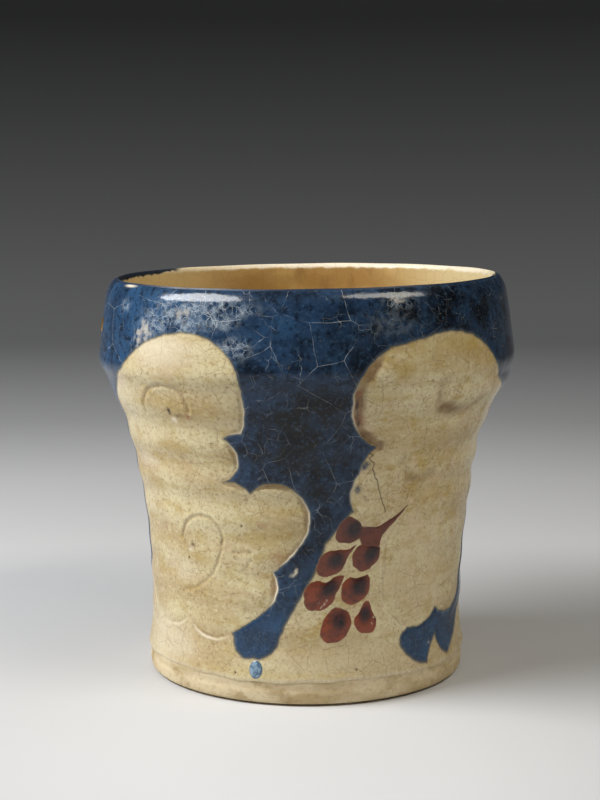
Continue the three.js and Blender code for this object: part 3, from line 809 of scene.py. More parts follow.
class Finish:
    """Builds a node material around one Principled shader, in Object coordinates. Grains are in mm."""

    def __init__(self, name, base=None):
        self.material = bpy.data.materials.new(name)
        self.material.use_nodes = True
        self.nodes = self.material.node_tree.nodes
        self.shader = self.nodes["Principled BSDF"]
        self.base = base
        self.place = self.add("TexCoord").outputs["Object"]
        self.x, self.y, self.z = self.add("SeparateXYZ", self.place).outputs

    def add(self, kind, *values, **settings):
        """A new node with its settings made and its first sockets set."""
        node = self.nodes.new("ShaderNode" + kind)
        for key, value in settings.items():
            setattr(node, key, value)
        for socket, value in zip(node.inputs, values):
            self.put(socket, value)
        return node

    def put(self, socket, value):
        """Links a socket, or sets it to a plain number or colour."""
        if isinstance(value, bpy.types.NodeSocket):
            self.material.node_tree.links.new(value, socket)
        elif socket.type == "RGBA":
            socket.default_value = (*value, 1)
        else:
            socket.default_value = value

    def set(self, **values):
        for key, value in values.items():
            self.put(self.shader.inputs[key.replace("_", " ").title().replace("Ior", "IOR")], value)

    def maths(self, operation, first, second=0):
        return self.add("Math", first, second, operation=operation).outputs[0]

    def times(self, first, second):
        return self.maths("MULTIPLY", first, second)

    def plus(self, first, second):
        return self.maths("ADD", first, second)

    def larger(self, first, second):
        return self.maths("MAXIMUM", first, second)

    def between(self, value, low, high, start=0, end=1):
        """The value mapped from low..high to start..end, and held there."""
        ends = (low, high, start, end)
        return self.add("MapRange", value, *ends, interpolation_type="SMOOTHSTEP").outputs[0]

    def spread(self, size, stretch=(1, 1, 1), shift=0):
        """Object coordinates counted in cells of the given size."""
        node = self.add("Mapping", self.place)
        node.inputs["Scale"].default_value = [share / size for share in stretch]
        node.inputs["Location"].default_value = (shift, shift, shift)
        return node.outputs[0]

    def unrolled(self, size, shift=0):
        """The girth and the height counted in cells of the given size."""
        angle = self.maths("ARCTAN2", self.x, self.times(self.y, -1))
        girth = self.plus(self.times(angle, girth_radius() / size), shift)
        height = self.plus(self.times(self.z, 1 / size), shift)
        return self.add("CombineXYZ", girth, height).outputs[0]

    def clouds(self, place, detail=2):
        """The outputs of a noise texture."""
        node = self.add("TexNoise", place)
        self.put(node.inputs["Scale"], 1)
        self.put(node.inputs["Detail"], detail)
        return node.outputs

    def noise(self, grain, stretch=(1, 1, 1), detail=3, shift=0):
        return self.clouds(self.spread(grain * MM, stretch, shift), detail)["Fac"]

    def mottle(self, grain, low, high, start=0, end=1, **kind):
        """Noise mapped from low..high to start..end, and held there."""
        return self.between(self.noise(grain, **kind), low, high, start, end)

    def crackle(self, grain, width, shift=0, bend=0.25):
        """Fine lines of the given width round cells of the given grain: 1 on a line."""
        bent = self.clouds(self.spread(grain * MM / 2, shift=shift))
        moves = (bent["Color"], (bend, bend, bend), self.unrolled(grain * MM, shift))
        place = self.add("VectorMath", *moves, operation="MULTIPLY_ADD").outputs[0]
        cells = self.add("TexVoronoi", place, feature="DISTANCE_TO_EDGE", voronoi_dimensions="2D")
        self.put(cells.inputs["Scale"], 1)
        return self.between(cells.outputs["Distance"], 0.15 * width / grain, 0.6 * width / grain, 1, 0)

    def attribute(self, name):
        return self.add("Attribute", attribute_name=name).outputs["Fac"]

    def lay(self, hue, share):
        """Lays a colour over the base colour."""
        node = self.add("Mix", share, data_type="RGBA")
        self.put(node.inputs[6], self.base)
        self.put(node.inputs[7], hue)
        self.base = node.outputs[2]

    def bump(self, height, depth):
        """Roughens the surface by a depth in mm."""
        node = self.add("Bump")
        self.put(node.inputs["Height"], height)
        self.put(node.inputs["Distance"], depth * MM)
        self.put(self.shader.inputs["Normal"], node.outputs[0])

    def finished(self, grain, glossiest, dullest, **values):
        """The material, with a gloss that changes from place to place."""
        self.set(base_color=self.base, roughness=self.mottle(grain, 0.3, 0.7, glossiest, dullest), **values)
        return self.material


def blue_glaze():
    """Glossy cobalt glaze, dark where it pooled, with a pale crackle that clouds the upper left, a milky
    haze there that is partly a painted sheen under the highlight, and painted shade where the blue meets a
    raised leaf.
    """
    c = colours()
    f = Finish("blue_glaze", c.deep_blue)
    tone = f.plus(f.attribute("tone"), f.mottle(9, 0.3, 0.7, -0.25, 0.25, detail=4))
    f.lay(c.blue, f.between(tone, 0, 0.5))
    f.lay(c.cobalt, f.between(tone, 0.5, 1))
    f.lay(c.olive, f.times(f.attribute("olive"), f.mottle(5, 0.35, 0.65, detail=5, shift=4)))
    upper = f.between(f.z, 26 * MM, 46 * MM, 0.3, 1)
    f.lay(c.deep_blue, f.times(f.mottle(2.4, 0.46, 0.7, 0, 0.7, detail=4, shift=6), upper))
    f.lay(c.thin_blue, f.mottle(1.3, 0.5, 0.76, 0, 0.5, detail=5, shift=2))
    specks = f.mottle(0.8, 0.62, 0.74, 0, 0.16, detail=2, shift=9)
    f.lay(c.tan, f.times(specks, f.mottle(12, 0.42, 0.6, shift=5)))
    edge = f.attribute("edge")
    f.lay(c.thin_blue, f.between(edge, 0, 0.6, 0.4, 0))
    # Grey and darker along the edge of the blue: glaze running into the cream, and painted shade where it
    # meets a raised leaf
    ragged = f.plus(edge, f.mottle(0.9, 0.3, 0.7, -0.12, 0.12, detail=4))
    f.lay(c.seam, f.between(ragged, 0, 0.45, 0.7, 0))
    # Milky haze, partly a painted sheen under the key light's highlight; the crackle is drawn denser there
    # too
    haze_and_sheen = f.attribute("haze_and_sheen")
    f.lay(c.milk_and_sheen, f.times(haze_and_sheen, f.mottle(2.6, 0.38, 0.7, 0, 0.9, detail=6)))
    # White clots, one of them a painted highlight where the right highlight runs down
    clot_and_sheen = f.attribute("clot_and_sheen")
    flaky = f.plus(clot_and_sheen, f.mottle(2.2, 0.3, 0.7, -0.4, 0.4, detail=8, shift=3))
    f.lay(c.clot_and_sheen, f.times(f.between(flaky, 0.1, 0.9, 0, 0.8), f.between(clot_and_sheen, 0, 0.25)))
    long_lines = f.times(f.crackle(16, 0.2, bend=0.12), f.mottle(20, 0.42, 0.54, shift=3))
    faint = f.times(f.between(f.x, 10 * MM, 34 * MM, 1, 0.3), f.between(f.z, 112 * MM, 124 * MM, 0.6, 1))
    long_lines = f.times(long_lines, faint)
    dense = f.between(haze_and_sheen, 0.05, 0.5)
    patches = f.times(f.mottle(9, 0.48, 0.64, 0, 0.6, shift=7), upper)
    short_lines = f.times(f.crackle(5.5, 0.2, shift=5, bend=0.5), f.larger(dense, patches))
    netted = f.larger(dense, f.between(f.z, 22 * MM, 40 * MM, 0.16, 0))
    fine_lines = f.times(f.crackle(2.1, 0.2, shift=2, bend=0.5), netted)
    lines = f.larger(long_lines, f.larger(short_lines, fine_lines))
    lines = f.times(lines, f.mottle(2.5, 0.3, 0.65, 0.05, 0.56, shift=1))
    f.lay(c.crackle, lines)
    # Pale where clay lies bare, and painted highlights at the glints
    f.lay(c.pale, f.attribute("bare"))
    waves = f.plus(f.noise(3), f.times(lines, -0.4))
    blisters = f.times(haze_and_sheen, f.noise(1.6, detail=4, shift=6))
    f.bump(f.plus(waves, f.times(blisters, 1.4)), 0.09)
    return f.finished(7, 0.07, 0.16, ior=1.36)


def cream_glaze():
    """Clear glaze over cream clay, stained along the rings and in the grooves, with painted shade in the
    hollows, in the cut lines and towards the right, bare at carved edges.
    """
    c = colours()
    f = Finish("cream_glaze", c.cream)
    f.lay(c.tan, f.mottle(30, 0.35, 0.68, stretch=(1, 1, 2), detail=4))
    f.lay(c.ochre, f.mottle(14, 0.5, 0.74, 0, 0.75, stretch=(0.5, 0.5, 2.4), detail=5, shift=2))
    f.lay(c.tan, f.mottle(2.2, 0.42, 0.72, 0, 0.5, detail=6, shift=4))
    # Ochre patches and blush grow towards the right, the side in shade: painted shade
    patches = f.mottle(7, 0.5, 0.68, 0, 0.6, stretch=(1, 1, 1.5), detail=5, shift=5)
    f.lay(c.ochre, f.times(patches, f.between(f.x, -40 * MM, 40 * MM, 0.8, 1.4)))
    blush = f.mottle(6, 0.5, 0.66, 0, 0.45, stretch=(1, 1, 1.4), detail=5, shift=7)
    f.lay(c.rosy, f.times(blush, f.between(f.x, -40 * MM, 40 * MM, 0.4, 1.6)))
    f.lay(c.brown, f.mottle(1.1, 0.5, 0.72, 0, 0.5, detail=5, shift=3))
    f.lay(c.cream, f.mottle(2.6, 0.5, 0.7, 0, 0.55, stretch=(1, 1, 1.6), detail=5, shift=8))
    # Paler glaze, and a painted sheen along the right silhouette
    f.lay(c.pale, f.attribute("clean"))
    f.lay(c.ochre, f.attribute("ochre"))
    lines = f.larger(f.crackle(8, 0.24), f.times(f.crackle(2.4, 0.2, shift=9), 0.55))
    lines = f.times(lines, f.mottle(12, 0.35, 0.65, 0.12, 0.6, shift=6))
    f.lay(c.brown, lines)
    # Brown in the grooves: stain in the carved bands, and painted shade in the drawn and cut lines and the
    # hollows
    f.lay(c.brown, f.times(f.attribute("groove"), f.mottle(3, 0.3, 0.6, 0.6, 0.9, shift=1)))
    f.lay(c.rust, f.attribute("rust"))
    f.lay(c.dark_stain, f.attribute("stain"))
    edge = f.attribute("edge")
    f.lay(c.brown, f.between(edge, 0, 0.5, 0.25, 0))
    # Grey seam where cream meets blue, darkened as painted shade along the raised edge
    f.lay(c.seam, f.between(edge, 0, 0.4, 0.55, 0))
    f.lay(c.blue, f.times(f.attribute("smear"), f.mottle(0.8, 0.3, 0.6, 0.5, 1, detail=4, shift=2)))
    # Pale bare clay at carved edges, and painted highlights beside drawn edges, along the glaze's lower
    # edge and at the glints
    f.lay(c.pale, f.attribute("bare"))
    f.bump(f.plus(f.noise(2.4, detail=4), f.times(lines, -0.6)), 0.07)
    return f.finished(6, 0.26, 0.42, ior=1.45)


def inside_glaze():
    """Clear glaze stained deep ochre, paler towards both sides as painted light, bare along the lip, with
    blue run over the crest on the left.
    """
    c = colours()
    s = sizes()
    f = Finish("inside_glaze", c.inside)
    middle = f.between(f.maths("ABSOLUTE", f.x), 20 * MM, 60 * MM, 0.8, 0.15)
    stain = f.mottle(16, 0.3, 0.65, stretch=(1, 1, 1.5), detail=5)
    f.lay(c.inside_stain, f.times(middle, f.between(stain, 0, 1, 0.5, 1)))
    streaks = f.mottle(6, 0.55, 0.7, 0, 0.4, stretch=(1, 1, 0.4), detail=4, shift=3)
    f.lay(c.brown, f.times(streaks, middle))
    # Paler towards the right, where the key light falls over the left rim, and towards the left, where the
    # fill falls: partly painted light
    f.lay(c.cream, f.between(f.x, 28 * MM, 68 * MM, 0, 0.8))
    f.lay(c.cream, f.between(f.x, -22 * MM, -60 * MM, 0, 0.5))
    sunk = f.between(f.y, 0, s.rim_radius, 0, LIP_SAG)
    level = f.plus(f.plus(f.z, sunk), f.times(f.x, -s.lip_tilt / s.rim_radius))
    ragged = f.plus(level, f.mottle(4, 0.3, 0.7, -0.4 * MM, 0.4 * MM, detail=5))
    behind = f.between(f.y, -20 * MM, 30 * MM)
    worn = f.between(ragged, s.height - 2 * MM, s.height - 0.8 * MM, 0, 0.25)
    f.lay(c.cream, f.times(worn, behind))
    crest = f.times(f.between(ragged, s.height - 1.6 * MM, s.height - 0.5 * MM), behind)
    f.lay(c.pale, f.times(crest, f.between(f.x, -56 * MM, -6 * MM, 0.3, 1)))
    reach = f.between(f.x, -48 * MM, -66 * MM, 0.1 * MM, 1.4 * MM)
    left = f.between(f.x, -48 * MM, -54 * MM)
    run = f.between(f.plus(ragged, reach), s.height - 0.4 * MM, s.height + 0.5 * MM)
    f.lay(c.run, f.times(left, run))
    front = f.between(f.y, 0, -20 * MM)
    f.lay(c.blue, f.times(front, f.between(level, s.height - 1.7 * MM, s.height - 1.2 * MM)))
    f.lay(c.brown, f.times(f.crackle(5, 0.25), 0.25))
    f.bump(f.noise(3), 0.06)
    return f.finished(6, 0.3, 0.45, ior=1.45)


def iron_slip(name):
    """Iron-red slip under glaze, browner higher up, smudged dark at the spots."""
    c = colours()
    f = Finish(name, c.iron)
    f.lay(c.iron_brown, f.between(f.z, 34 * MM, 62 * MM))
    f.lay(c.iron_dark, f.mottle(3, 0.4, 0.68, 0, 0.8, detail=5))
    f.lay(c.smudge, f.times(f.attribute("smudge"), f.mottle(1, 0.3, 0.62, 0.8, 1, detail=4)))
    f.lay(c.tan, f.between(f.attribute("crown"), 0, 0.12, 0.45, 0))
    f.lay(c.pale, f.attribute("bubble"))
    f.bump(f.noise(0.9, detail=5), 0.05)
    return f.finished(2, 0.24, 0.36, ior=1.5)


def bare_clay():
    """Low-fired clay, matt and gritty, worn and stained along the foot."""
    c = colours()
    f = Finish("bare_clay", c.clay)
    f.lay(c.tan, f.mottle(18, 0.4, 0.7, stretch=(1, 1, 3), detail=5))
    f.lay(c.clay_dark, f.mottle(8, 0.5, 0.7, 0, 0.8, stretch=(1, 1, 1.5), detail=6, shift=3))
    f.lay(c.rosy, f.mottle(5, 0.5, 0.68, 0, 0.6, detail=5, shift=7))
    f.lay(c.brown, f.mottle(1.5, 0.5, 0.75, 0, 0.3, detail=6))
    f.bump(f.noise(0.9, detail=5), 0.1)
    f.set(base_color=f.base, roughness=0.8)
    return f.material


def gold_lacquer():
    """Gold powder dusted on lacquer, satin and a little worn."""
    c = colours()
    f = Finish("gold_lacquer", c.gold)
    f.lay(c.brown, f.mottle(1.2, 0.5, 0.75, 0, 0.5, detail=5))
    f.bump(f.noise(0.6), 0.05)
    return f.finished(0.8, 0.25, 0.45, metallic=1)


def drop_glaze():
    """Blue glaze thinned out in a single drop, milky on its crown, darker blue round its edge, partly
    painted shade.
    """
    c = colours()
    f = Finish("drop_glaze", c.drop)
    f.lay(c.thin_blue, f.mottle(1.2, 0.42, 0.66, 0, 0.85, detail=4))
    # Darker blue round the drop's edge: partly its blue outline, partly painted shade
    f.lay(c.thin_blue, f.between(f.attribute("crown"), 0, 0.22, 0.8, 0))
    f.bump(f.noise(1.5), 0.04)
    return f.finished(2, 0.08, 0.16, ior=1.5)


# The outside, parted along the pattern

WALL_STEPS = 400
WALL_ROW = 1 * MM
LEAVES_PART = 8  # degrees from the front: the right leaf begins after this
EDGE_REACH = 2 * MM  # the glazes change this far from an edge of the blue
RAGGED = 0.35 * MM  # how uneven the lower edge of the glaze is
RAGGED_TO = 6 * MM

# Faces of the wall that lie this near to fine detail are divided once,
NEAR_LEAF = 3 * MM
NEAR_BLUE = 1.2 * MM
NEAR_LINE = 2 * MM

# these once more,
GROOVE_MIDDLE = 0.8 * MM  # inside the edge of a leaf
NEAR_GROOVE = 1.2 * MM
NEARER_LINE = 1 * MM
NEAR_PINHOLE = 1.6 * MM

# and these a third time
NEAREST_CRACK = 0.6 * MM
NEAREST_PINHOLE = 0.9 * MM

OUTSIDE_PIECES = {
    "blue_coat": "blue_glaze_coat",
    "ground_coat": "ground_glaze_coat",
    "left_leaf_front": "leaf_front_left",
    "right_leaf_front": "leaf_front_right",
    "left_leaf_back": "leaf_back_left",
    "right_leaf_back": "leaf_back_right",
}


def outside_profile():
    """The glazed outside, from the glaze line over the lip."""
    s = sizes()
    rim = rim_height()
    rows = np.linspace(s.glaze_line, rim, round((rim - s.glaze_line) / WALL_ROW) + 1)
    return [(float(wall_radius(z)), z) for z in rows] + lip_outside()[1:]


def refine(obj, is_near):
    """Divides the faces that lie near fine detail."""
    middles = read(obj.data.polygons, "center", np.float32, 3).astype(float)
    select(obj, "FACE", is_near(Pattern(flat_of(middles))))
    bpy.ops.mesh.subdivide(number_cuts=1)
    mode("OBJECT")
    select(obj, "FACE", read(obj.data.polygons, "loop_total") > 4)
    bpy.ops.mesh.quads_convert_to_tris()
    mode("OBJECT")


def snap(obj, flat, field, steps, movable):
    """Moves points onto the line where a field is 0, so that no edge crosses it."""
    first, second = read(obj.data.edges, "vertices", width=2).T
    crossing = field[first] * field[second] < 0
    first, second = first[crossing], second[crossing]
    nearer = np.abs(field[first]) < np.abs(field[second])
    best = np.where(nearer, first, second)
    best = np.where(movable[best], best, np.where(nearer, second, first))
    moved = np.zeros(len(flat), bool)
    moved[best] = True
    moved &= movable
    flat[moved] += steps[moved]
    field[moved] = 0


def split_along(obj, field):
    """Splits the faces that the line of points where a field is 0 runs across."""
    select(obj, "VERT", field == 0)
    bpy.ops.mesh.vert_connect()
    mode("OBJECT")


def face_mean(obj, field):
    """The mean of a field over the corners of each face."""
    corners = field[read(obj.data.loops, "vertex_index")]
    sums = np.add.reduceat(corners, read(obj.data.polygons, "loop_start"))
    return sums / read(obj.data.polygons, "loop_total")


def outside_piece_of(middles, leaf, blue):
    """The number in OUTSIDE_PIECES of the piece that each face belongs to."""
    degrees = np.degrees(np.arctan2(middles[:, 0], -middles[:, 1]))
    at_back = np.abs(degrees) > 90
    on_right = (degrees + 180 * at_back + 180) % 360 - 180 > LEAVES_PART
    return np.where(leaf < 0, 2 + on_right + 2 * at_back, np.where(blue < 0, 0, 1))


class VASE_OT_outside(bpy.types.Operator):
    """Turns the glazed outside, carves it and parts it into the blue coat, the ground and the leaves"""

    bl_idname = "vase.outside"
    bl_label = "Glazed outside"

    def execute(self, context):
        wall = turned("outside", outside_profile(), WALL_STEPS)
        refine(wall, self.near_detail)
        refine(wall, self.near_edges)
        refine(wall, self.near_flaws)
        turned_radius = np.hypot(*points_of(wall)[:, :2].T)
        flat = flat_of(points_of(wall))
        pattern = Pattern(flat)
        snap(wall, flat, pattern.leaf, pattern.leaf_step, np.ones(len(flat), bool))
        snap(wall, flat, pattern.blue, pattern.blue_step, pattern.leaf > 0)
        self.shape(wall, pattern, turned_radius)
        split_along(wall, pattern.leaf)
        split_along(wall, np.where(pattern.leaf > 0, pattern.blue, 1))
        self.paint(wall, pattern)
        self.part(wall, pattern)
        return {"FINISHED"}

    def near_detail(self, pattern):
        edges = (np.abs(pattern.leaf) < NEAR_LEAF) | (np.abs(pattern.blue) < NEAR_BLUE)
        return edges | (np.minimum(pattern.scroll, pattern.crack) < NEAR_LINE)

    def near_edges(self, pattern):
        grooves = np.abs(pattern.leaf + GROOVE_MIDDLE) < NEAR_GROOVE
        lines = np.minimum(pattern.scroll, pattern.crack) < NEARER_LINE
        return grooves | lines | (pattern.pinhole < NEAR_PINHOLE)

    def near_flaws(self, pattern):
        return (pattern.crack < NEAREST_CRACK) | (pattern.pinhole < NEAREST_PINHOLE)

    def shape(self, wall, pattern, turned_radius):
        s = sizes()
        flat = pattern.flat
        angle = flat[:, 0] / girth_radius()
        on_lip = flat[:, 1] > rim_height()
        placed = on_vase(flat, np.where(on_lip, turned_radius, wall_radius(flat[:, 1]) + pattern.relief()))
        ragged = np.sin(5 * angle) + 0.6 * np.sin(23 * angle + 2)
        placed[:, 2] += RAGGED * ragged * smooth(flat[:, 1], s.glaze_line + RAGGED_TO, s.glaze_line)
        set_points(wall, settled(placed))

    def paint(self, wall, pattern):
        """Keeps on the mesh what the glazes need to know about the pattern."""
        flat = pattern.flat
        leaf = pattern.leaf
        beyond = EDGE_REACH * (1 - pattern.by_blue)
        edge = np.where(leaf < 0, beyond - leaf, np.abs(pattern.blue))
        edge = np.where((leaf >= 0) & (pattern.blue < 0), np.minimum(leaf, -pattern.blue), edge)
        # Brown: stain in the carved bands, and painted shade along drawn and cut lines and in the hollows
        grooves = (
            pattern.carved * pattern.groove,
            0.5 * pattern.drawn * hump(leaf + DRAWN_INSIDE, 0.4 * MM),
            0.4 * pattern.cut,
            0.35 * hump(pattern.hollow, 1.8 * MM),
            blots(folded(flat), BROWNS_AND_SHADE),
        )
        # Pale: bare clay along carved edges; painted highlights on the ridge beside a drawn edge and at the
        # glints; and along the glaze's lower edge thinner glaze with a painted highlight on its roll
        bare = (
            pattern.bare * hump(leaf + 0.2 * MM, 0.35 * MM),
            0.9 * pattern.drawn * hump(leaf - 0.5 * MM, 0.45 * MM),
            0.75 * hump(flat[:, 1] - sizes().glaze_line - 0.5 * MM, 0.45 * MM),
            blots(flat, PAINTED_GLINTS),
        )
        stains = (
            0.85 * hump(pattern.crack, CRACK_HALF),
            0.85 * hump(pattern.pinhole, PINHOLE_HALF),
            blots(flat, STAINS),
        )
        run_out = 0.6 * smooth(pattern.blue, 1 * MM, 0) * (leaf > 0)
        marks = {
            "edge": edge / EDGE_REACH,
            "tone": tone_at(flat),
            # milky haze, and a painted sheen under the highlight
            "haze_and_sheen": blots(flat, HAZE_AND_SHEEN),
            "olive": blots(flat, OLIVES),
            "groove": np.max(grooves, axis=0),
            # paler glaze, and a painted sheen down the right silhouette
            "clean": 0.75 * blots(flat, PALES_AND_SHEEN),
            "ochre": blots(flat, OCHRES),
            "bare": np.max(bare, axis=0),
            "stain": np.max(stains, axis=0),
            "rust": blots(flat, RUSTS),
            "smear": np.maximum(run_out, blots(flat, SMEARS)),
            # white clots, and a painted highlight where the right highlight runs down
            "clot_and_sheen": blots(flat, MILKS_AND_SHEEN),
        }
        for name, values in marks.items():
            set_attribute(wall, name, values)

    def part(self, wall, pattern):
        middles = read(wall.data.polygons, "center", np.float32, 3)
        numbers = outside_piece_of(middles, face_mean(wall, pattern.leaf), face_mean(wall, pattern.blue))
        for name in OUTSIDE_PIECES:
            wall.data.materials.append(bpy.data.materials.new(name))
        wall.data.polygons.foreach_set("material_index", numbers.astype(np.int32))
        activate(wall)
        mode("EDIT")
        bpy.ops.mesh.select_all(action="SELECT")
        bpy.ops.mesh.separate(type="MATERIAL")
        mode("OBJECT")
        glazes = {"blue_glaze": blue_glaze(), "clear_glaze": cream_glaze()}
        for piece in list(bpy.context.selected_objects):
            marker = piece.data.materials[0]
            slot = "blue_glaze" if marker.name == "blue_coat" else "clear_glaze"
            named(piece, marker.name)
            thickened(piece, sizes().coat)
            finished(piece, glazes[slot], slot, OUTSIDE_PIECES[marker.name])
            bpy.data.materials.remove(marker)


# Clay and inside

BODY_STEPS = 192
CLAY_ROWS = (40, 30)  # outside and inside
INSIDE_ROWS = 90
ROUND_STEPS = 6  # along a rounded edge of the clay
FILLET_STEPS = 10
CLAY_UNDER = 0.9 * MM  # the clay lies this far under the glazed inside
CLAY_UNDER_CARVING = 1.7 * MM  # and this far under the carved outside
CLAY_FROM = 2.4 * MM  # height over the glaze line from which it does

# The foot's profile, outwards from its radius and up: its edge in bevels, the rest in mm, and the step to
# the glaze from the glaze line
FOOT_EDGE = ((-2, 0), (-1.8, 0.45), (-0.4, 0.6), (-0.12, 0.8), (0, 1.3))
FOOT_WAVES = ((0.12, 3.2), (0.2, 4.2), (0.24, 5), (0.1, 5.6), (0, 6.2), (0.2, 7.4))
GLAZE_STEP = ((0.42, 0), (0.4, 0.6), (-0.2, 1.2))

INSIDE_RING = 0.3 * MM  # height of a throwing ring of the inside
INSIDE_RINGS_FROM = 40 * MM
INSIDE_RINGS_TO = (6 * MM, 16 * MM)  # depth under the lip


class VASE_OT_clay_body(bpy.types.Operator):
    """Turns the clay body with its bare foot"""

    bl_idname = "vase.clay_body"
    bl_label = "Clay body"

    def execute(self, context):
        body = turned("fired_clay", self.profile(), BODY_STEPS)
        set_points(body, settled(points_of(body)))
        finished(body, bare_clay(), "clay", "clay_body")
        return {"FINISHED"}

    def profile(self):
        s = sizes()
        rim = rim_height()
        crest = lip_outside()[-1][0]
        hollow = s.foot_radius - s.foot_ring
        outside = self.rows(wall_radius, -CLAY_UNDER_CARVING, s.glaze_line + CLAY_FROM, rim, CLAY_ROWS[0])
        inside = self.rows(inside_radius, CLAY_UNDER, rim, s.floor + s.floor_fillet, CLAY_ROWS[1])
        over = s.rim_drop - 2 * CLAY_UNDER
        low = s.floor - CLAY_UNDER
        corner = (inside[-1][0] - s.floor_fillet, inside[-1][1])
        return [
            (0, s.foot_hollow),
            (hollow - s.foot_hollow, s.foot_hollow),
            (hollow, 0),
            *((s.foot_radius + out * s.foot_edge, up * s.foot_edge) for out, up in FOOT_EDGE),
            *((s.foot_radius + out * MM, up * MM) for out, up in FOOT_WAVES),
            *((s.foot_radius + out * MM, s.glaze_line + up * MM) for out, up in GLAZE_STEP),
            *outside,
            *quarter((crest, rim), outside[-1][0] - crest, over, 0, 1, ROUND_STEPS),
            *quarter((crest, rim), crest - inside[0][0], over, 1, 2, ROUND_STEPS),
            *inside[1:],
            *quarter(corner, s.floor_fillet, corner[1] - low, 0, -1, ROUND_STEPS),
            (0, low),
        ]

    def rows(self, radius, depth, start, end, count):
        return [(float(radius(z)) + depth, z) for z in np.linspace(start, end, count)]


class VASE_OT_inside(bpy.types.Operator):
    """Turns the glazed inside, from the lip to the middle of the floor"""

    bl_idname = "vase.inside"
    bl_label = "Glazed inside"

    def execute(self, context):
        s = sizes()
        rows = np.linspace(rim_height(), s.floor + s.floor_fillet, INSIDE_ROWS)
        wall = [(float(inside_radius(z) + self.ring(z)), z) for z in rows]
        corner = (wall[-1][0] - s.floor_fillet, wall[-1][1])
        fillet = quarter(corner, s.floor_fillet, corner[1] - s.floor, 0, -1, FILLET_STEPS)
        face = turned("inside_coat", [*lip_inside(), *wall, *fillet, (0, s.floor)], BODY_STEPS)
        face_outwards(face, True)
        set_points(face, settled(points_of(face)))
        thickened(face, s.coat)
        finished(face, inside_glaze(), "inside_glaze", "inside_glaze_coat")
        return {"FINISHED"}

    def ring(self, z):
        """How far a throwing ring of the inside lies back at a height."""
        s = sizes()
        fade = smooth(z, s.floor + s.floor_fillet, INSIDE_RINGS_FROM)
        fade = fade * smooth(s.height - z, *INSIDE_RINGS_TO)
        return INSIDE_RING * math.sin(2 * math.pi * z / s.ring_pitch) * fade


# Dabs of slip, glaze and lacquer

DAB_SIDES = 72
DAB_RINGS = 8
DAB_INSET = 0.9  # share of a dab that the rings take up
DAB_CROWN = 4  # how flat a dab is on top
DAB_SUNK = 0.04 * MM  # how far its edge lies under the surface
SLIP_UNDER = 0.15 * MM  # thickness under the surface
GLAZE_UNDER = 0.2 * MM
STEM_THINNER = 0.05 * MM
SMUDGE_HEIGHT = 0.08 * MM
SMUDGE_REACH = 1.6
SMUDGE_FALL = 1.8
DROP_HEIGHT = 0.6 * MM
MEND_HEIGHT = 0.35 * MM


def even(path):
    """A closed path shared out into evenly spaced points, counter-clockwise."""
    path = path[::-1]
    reach = np.concatenate(([0], np.cumsum(np.hypot(*np.diff(path, axis=0).T))))
    places = np.linspace(0, reach[-1], DAB_SIDES, endpoint=False)
    return np.column_stack([np.interp(places, reach, path[:, axis]) for axis in (0, 1)])


def ellipse(degrees, percent, half_length, half_width, tilt):
    """Points round the edge of a dab."""
    turn = np.linspace(0, 2 * math.pi, DAB_SIDES, endpoint=False)
    along = half_length * MM * np.cos(turn)
    across = half_width * MM * np.sin(turn)
    lean = math.radians(tilt)
    girth = along * math.cos(lean) - across * math.sin(lean)
    height = along * math.sin(lean) + across * math.cos(lean)
    return to_flat(degrees, percent) + np.column_stack((girth, height))


def crown_at(flat, outline, thickness):
    """How far a dab inside an outline stands out at flat points."""
    spokes = outline - outline.mean(0)
    offset = flat - outline.mean(0)
    turn = np.arctan2(offset[:, 1], offset[:, 0])
    turns = np.arctan2(spokes[:, 1], spokes[:, 0])
    edge = np.interp(turn, turns, np.hypot(*spokes.T), period=2 * math.pi)
    return thickness * (1 - np.clip(np.hypot(*offset.T) / edge, 0, 1) ** DAB_CROWN)


def dab(name, outline, thickness, under=None):
    """A thin rounded patch inside an outline drawn flat, on the glazed wall or on the dab inside
    another outline. Returns it with its flat points."""
    deselect()
    bpy.ops.mesh.primitive_circle_add(vertices=DAB_SIDES, radius=1, fill_type="NGON")
    obj = named(bpy.context.object, name)
    mode("EDIT")
    for _ in range(DAB_RINGS):
        bpy.ops.mesh.inset(thickness=DAB_INSET / DAB_RINGS)
    bpy.ops.mesh.poke()
    mode("OBJECT")
    disc = points_of(obj)
    out = np.clip(np.hypot(disc[:, 0], disc[:, 1]), 0, 1)
    side = np.arctan2(disc[:, 1], disc[:, 0]) % (2 * math.pi) / (2 * math.pi) * DAB_SIDES
    closed = np.vstack((outline, outline[:1]))
    numbers = np.arange(DAB_SIDES + 1)
    edge = np.column_stack([np.interp(side, numbers, closed[:, axis]) for axis in (0, 1)])
    middle = outline.mean(0)
    flat = middle + (edge - middle) * out[:, None]
    lift = thickness * (1 - out**DAB_CROWN) - DAB_SUNK
    if under is not None:
        lift = lift + crown_at(flat, under, sizes().slip)
    set_points(obj, on_glaze(flat, lift))
    set_attribute(obj, "crown", np.ones(len(out)) if under is not None else 1 - out)
    return obj, flat


def smudge_at(flat, spot):
    """How dark the slip is smudged round a spot."""
    degrees, percent, half_length, half_width, tilt = spot
    lean = math.radians(tilt)
    offset = flat - to_flat(degrees, percent)
    along = offset @ np.array((math.cos(lean), math.sin(lean)))
    across = offset @ np.array((-math.sin(lean), math.cos(lean)))
    reach = (along / (half_length * MM)) ** 2 + (across / (half_width * MM)) ** 2
    return np.exp(-((reach / SMUDGE_REACH) ** SMUDGE_FALL))


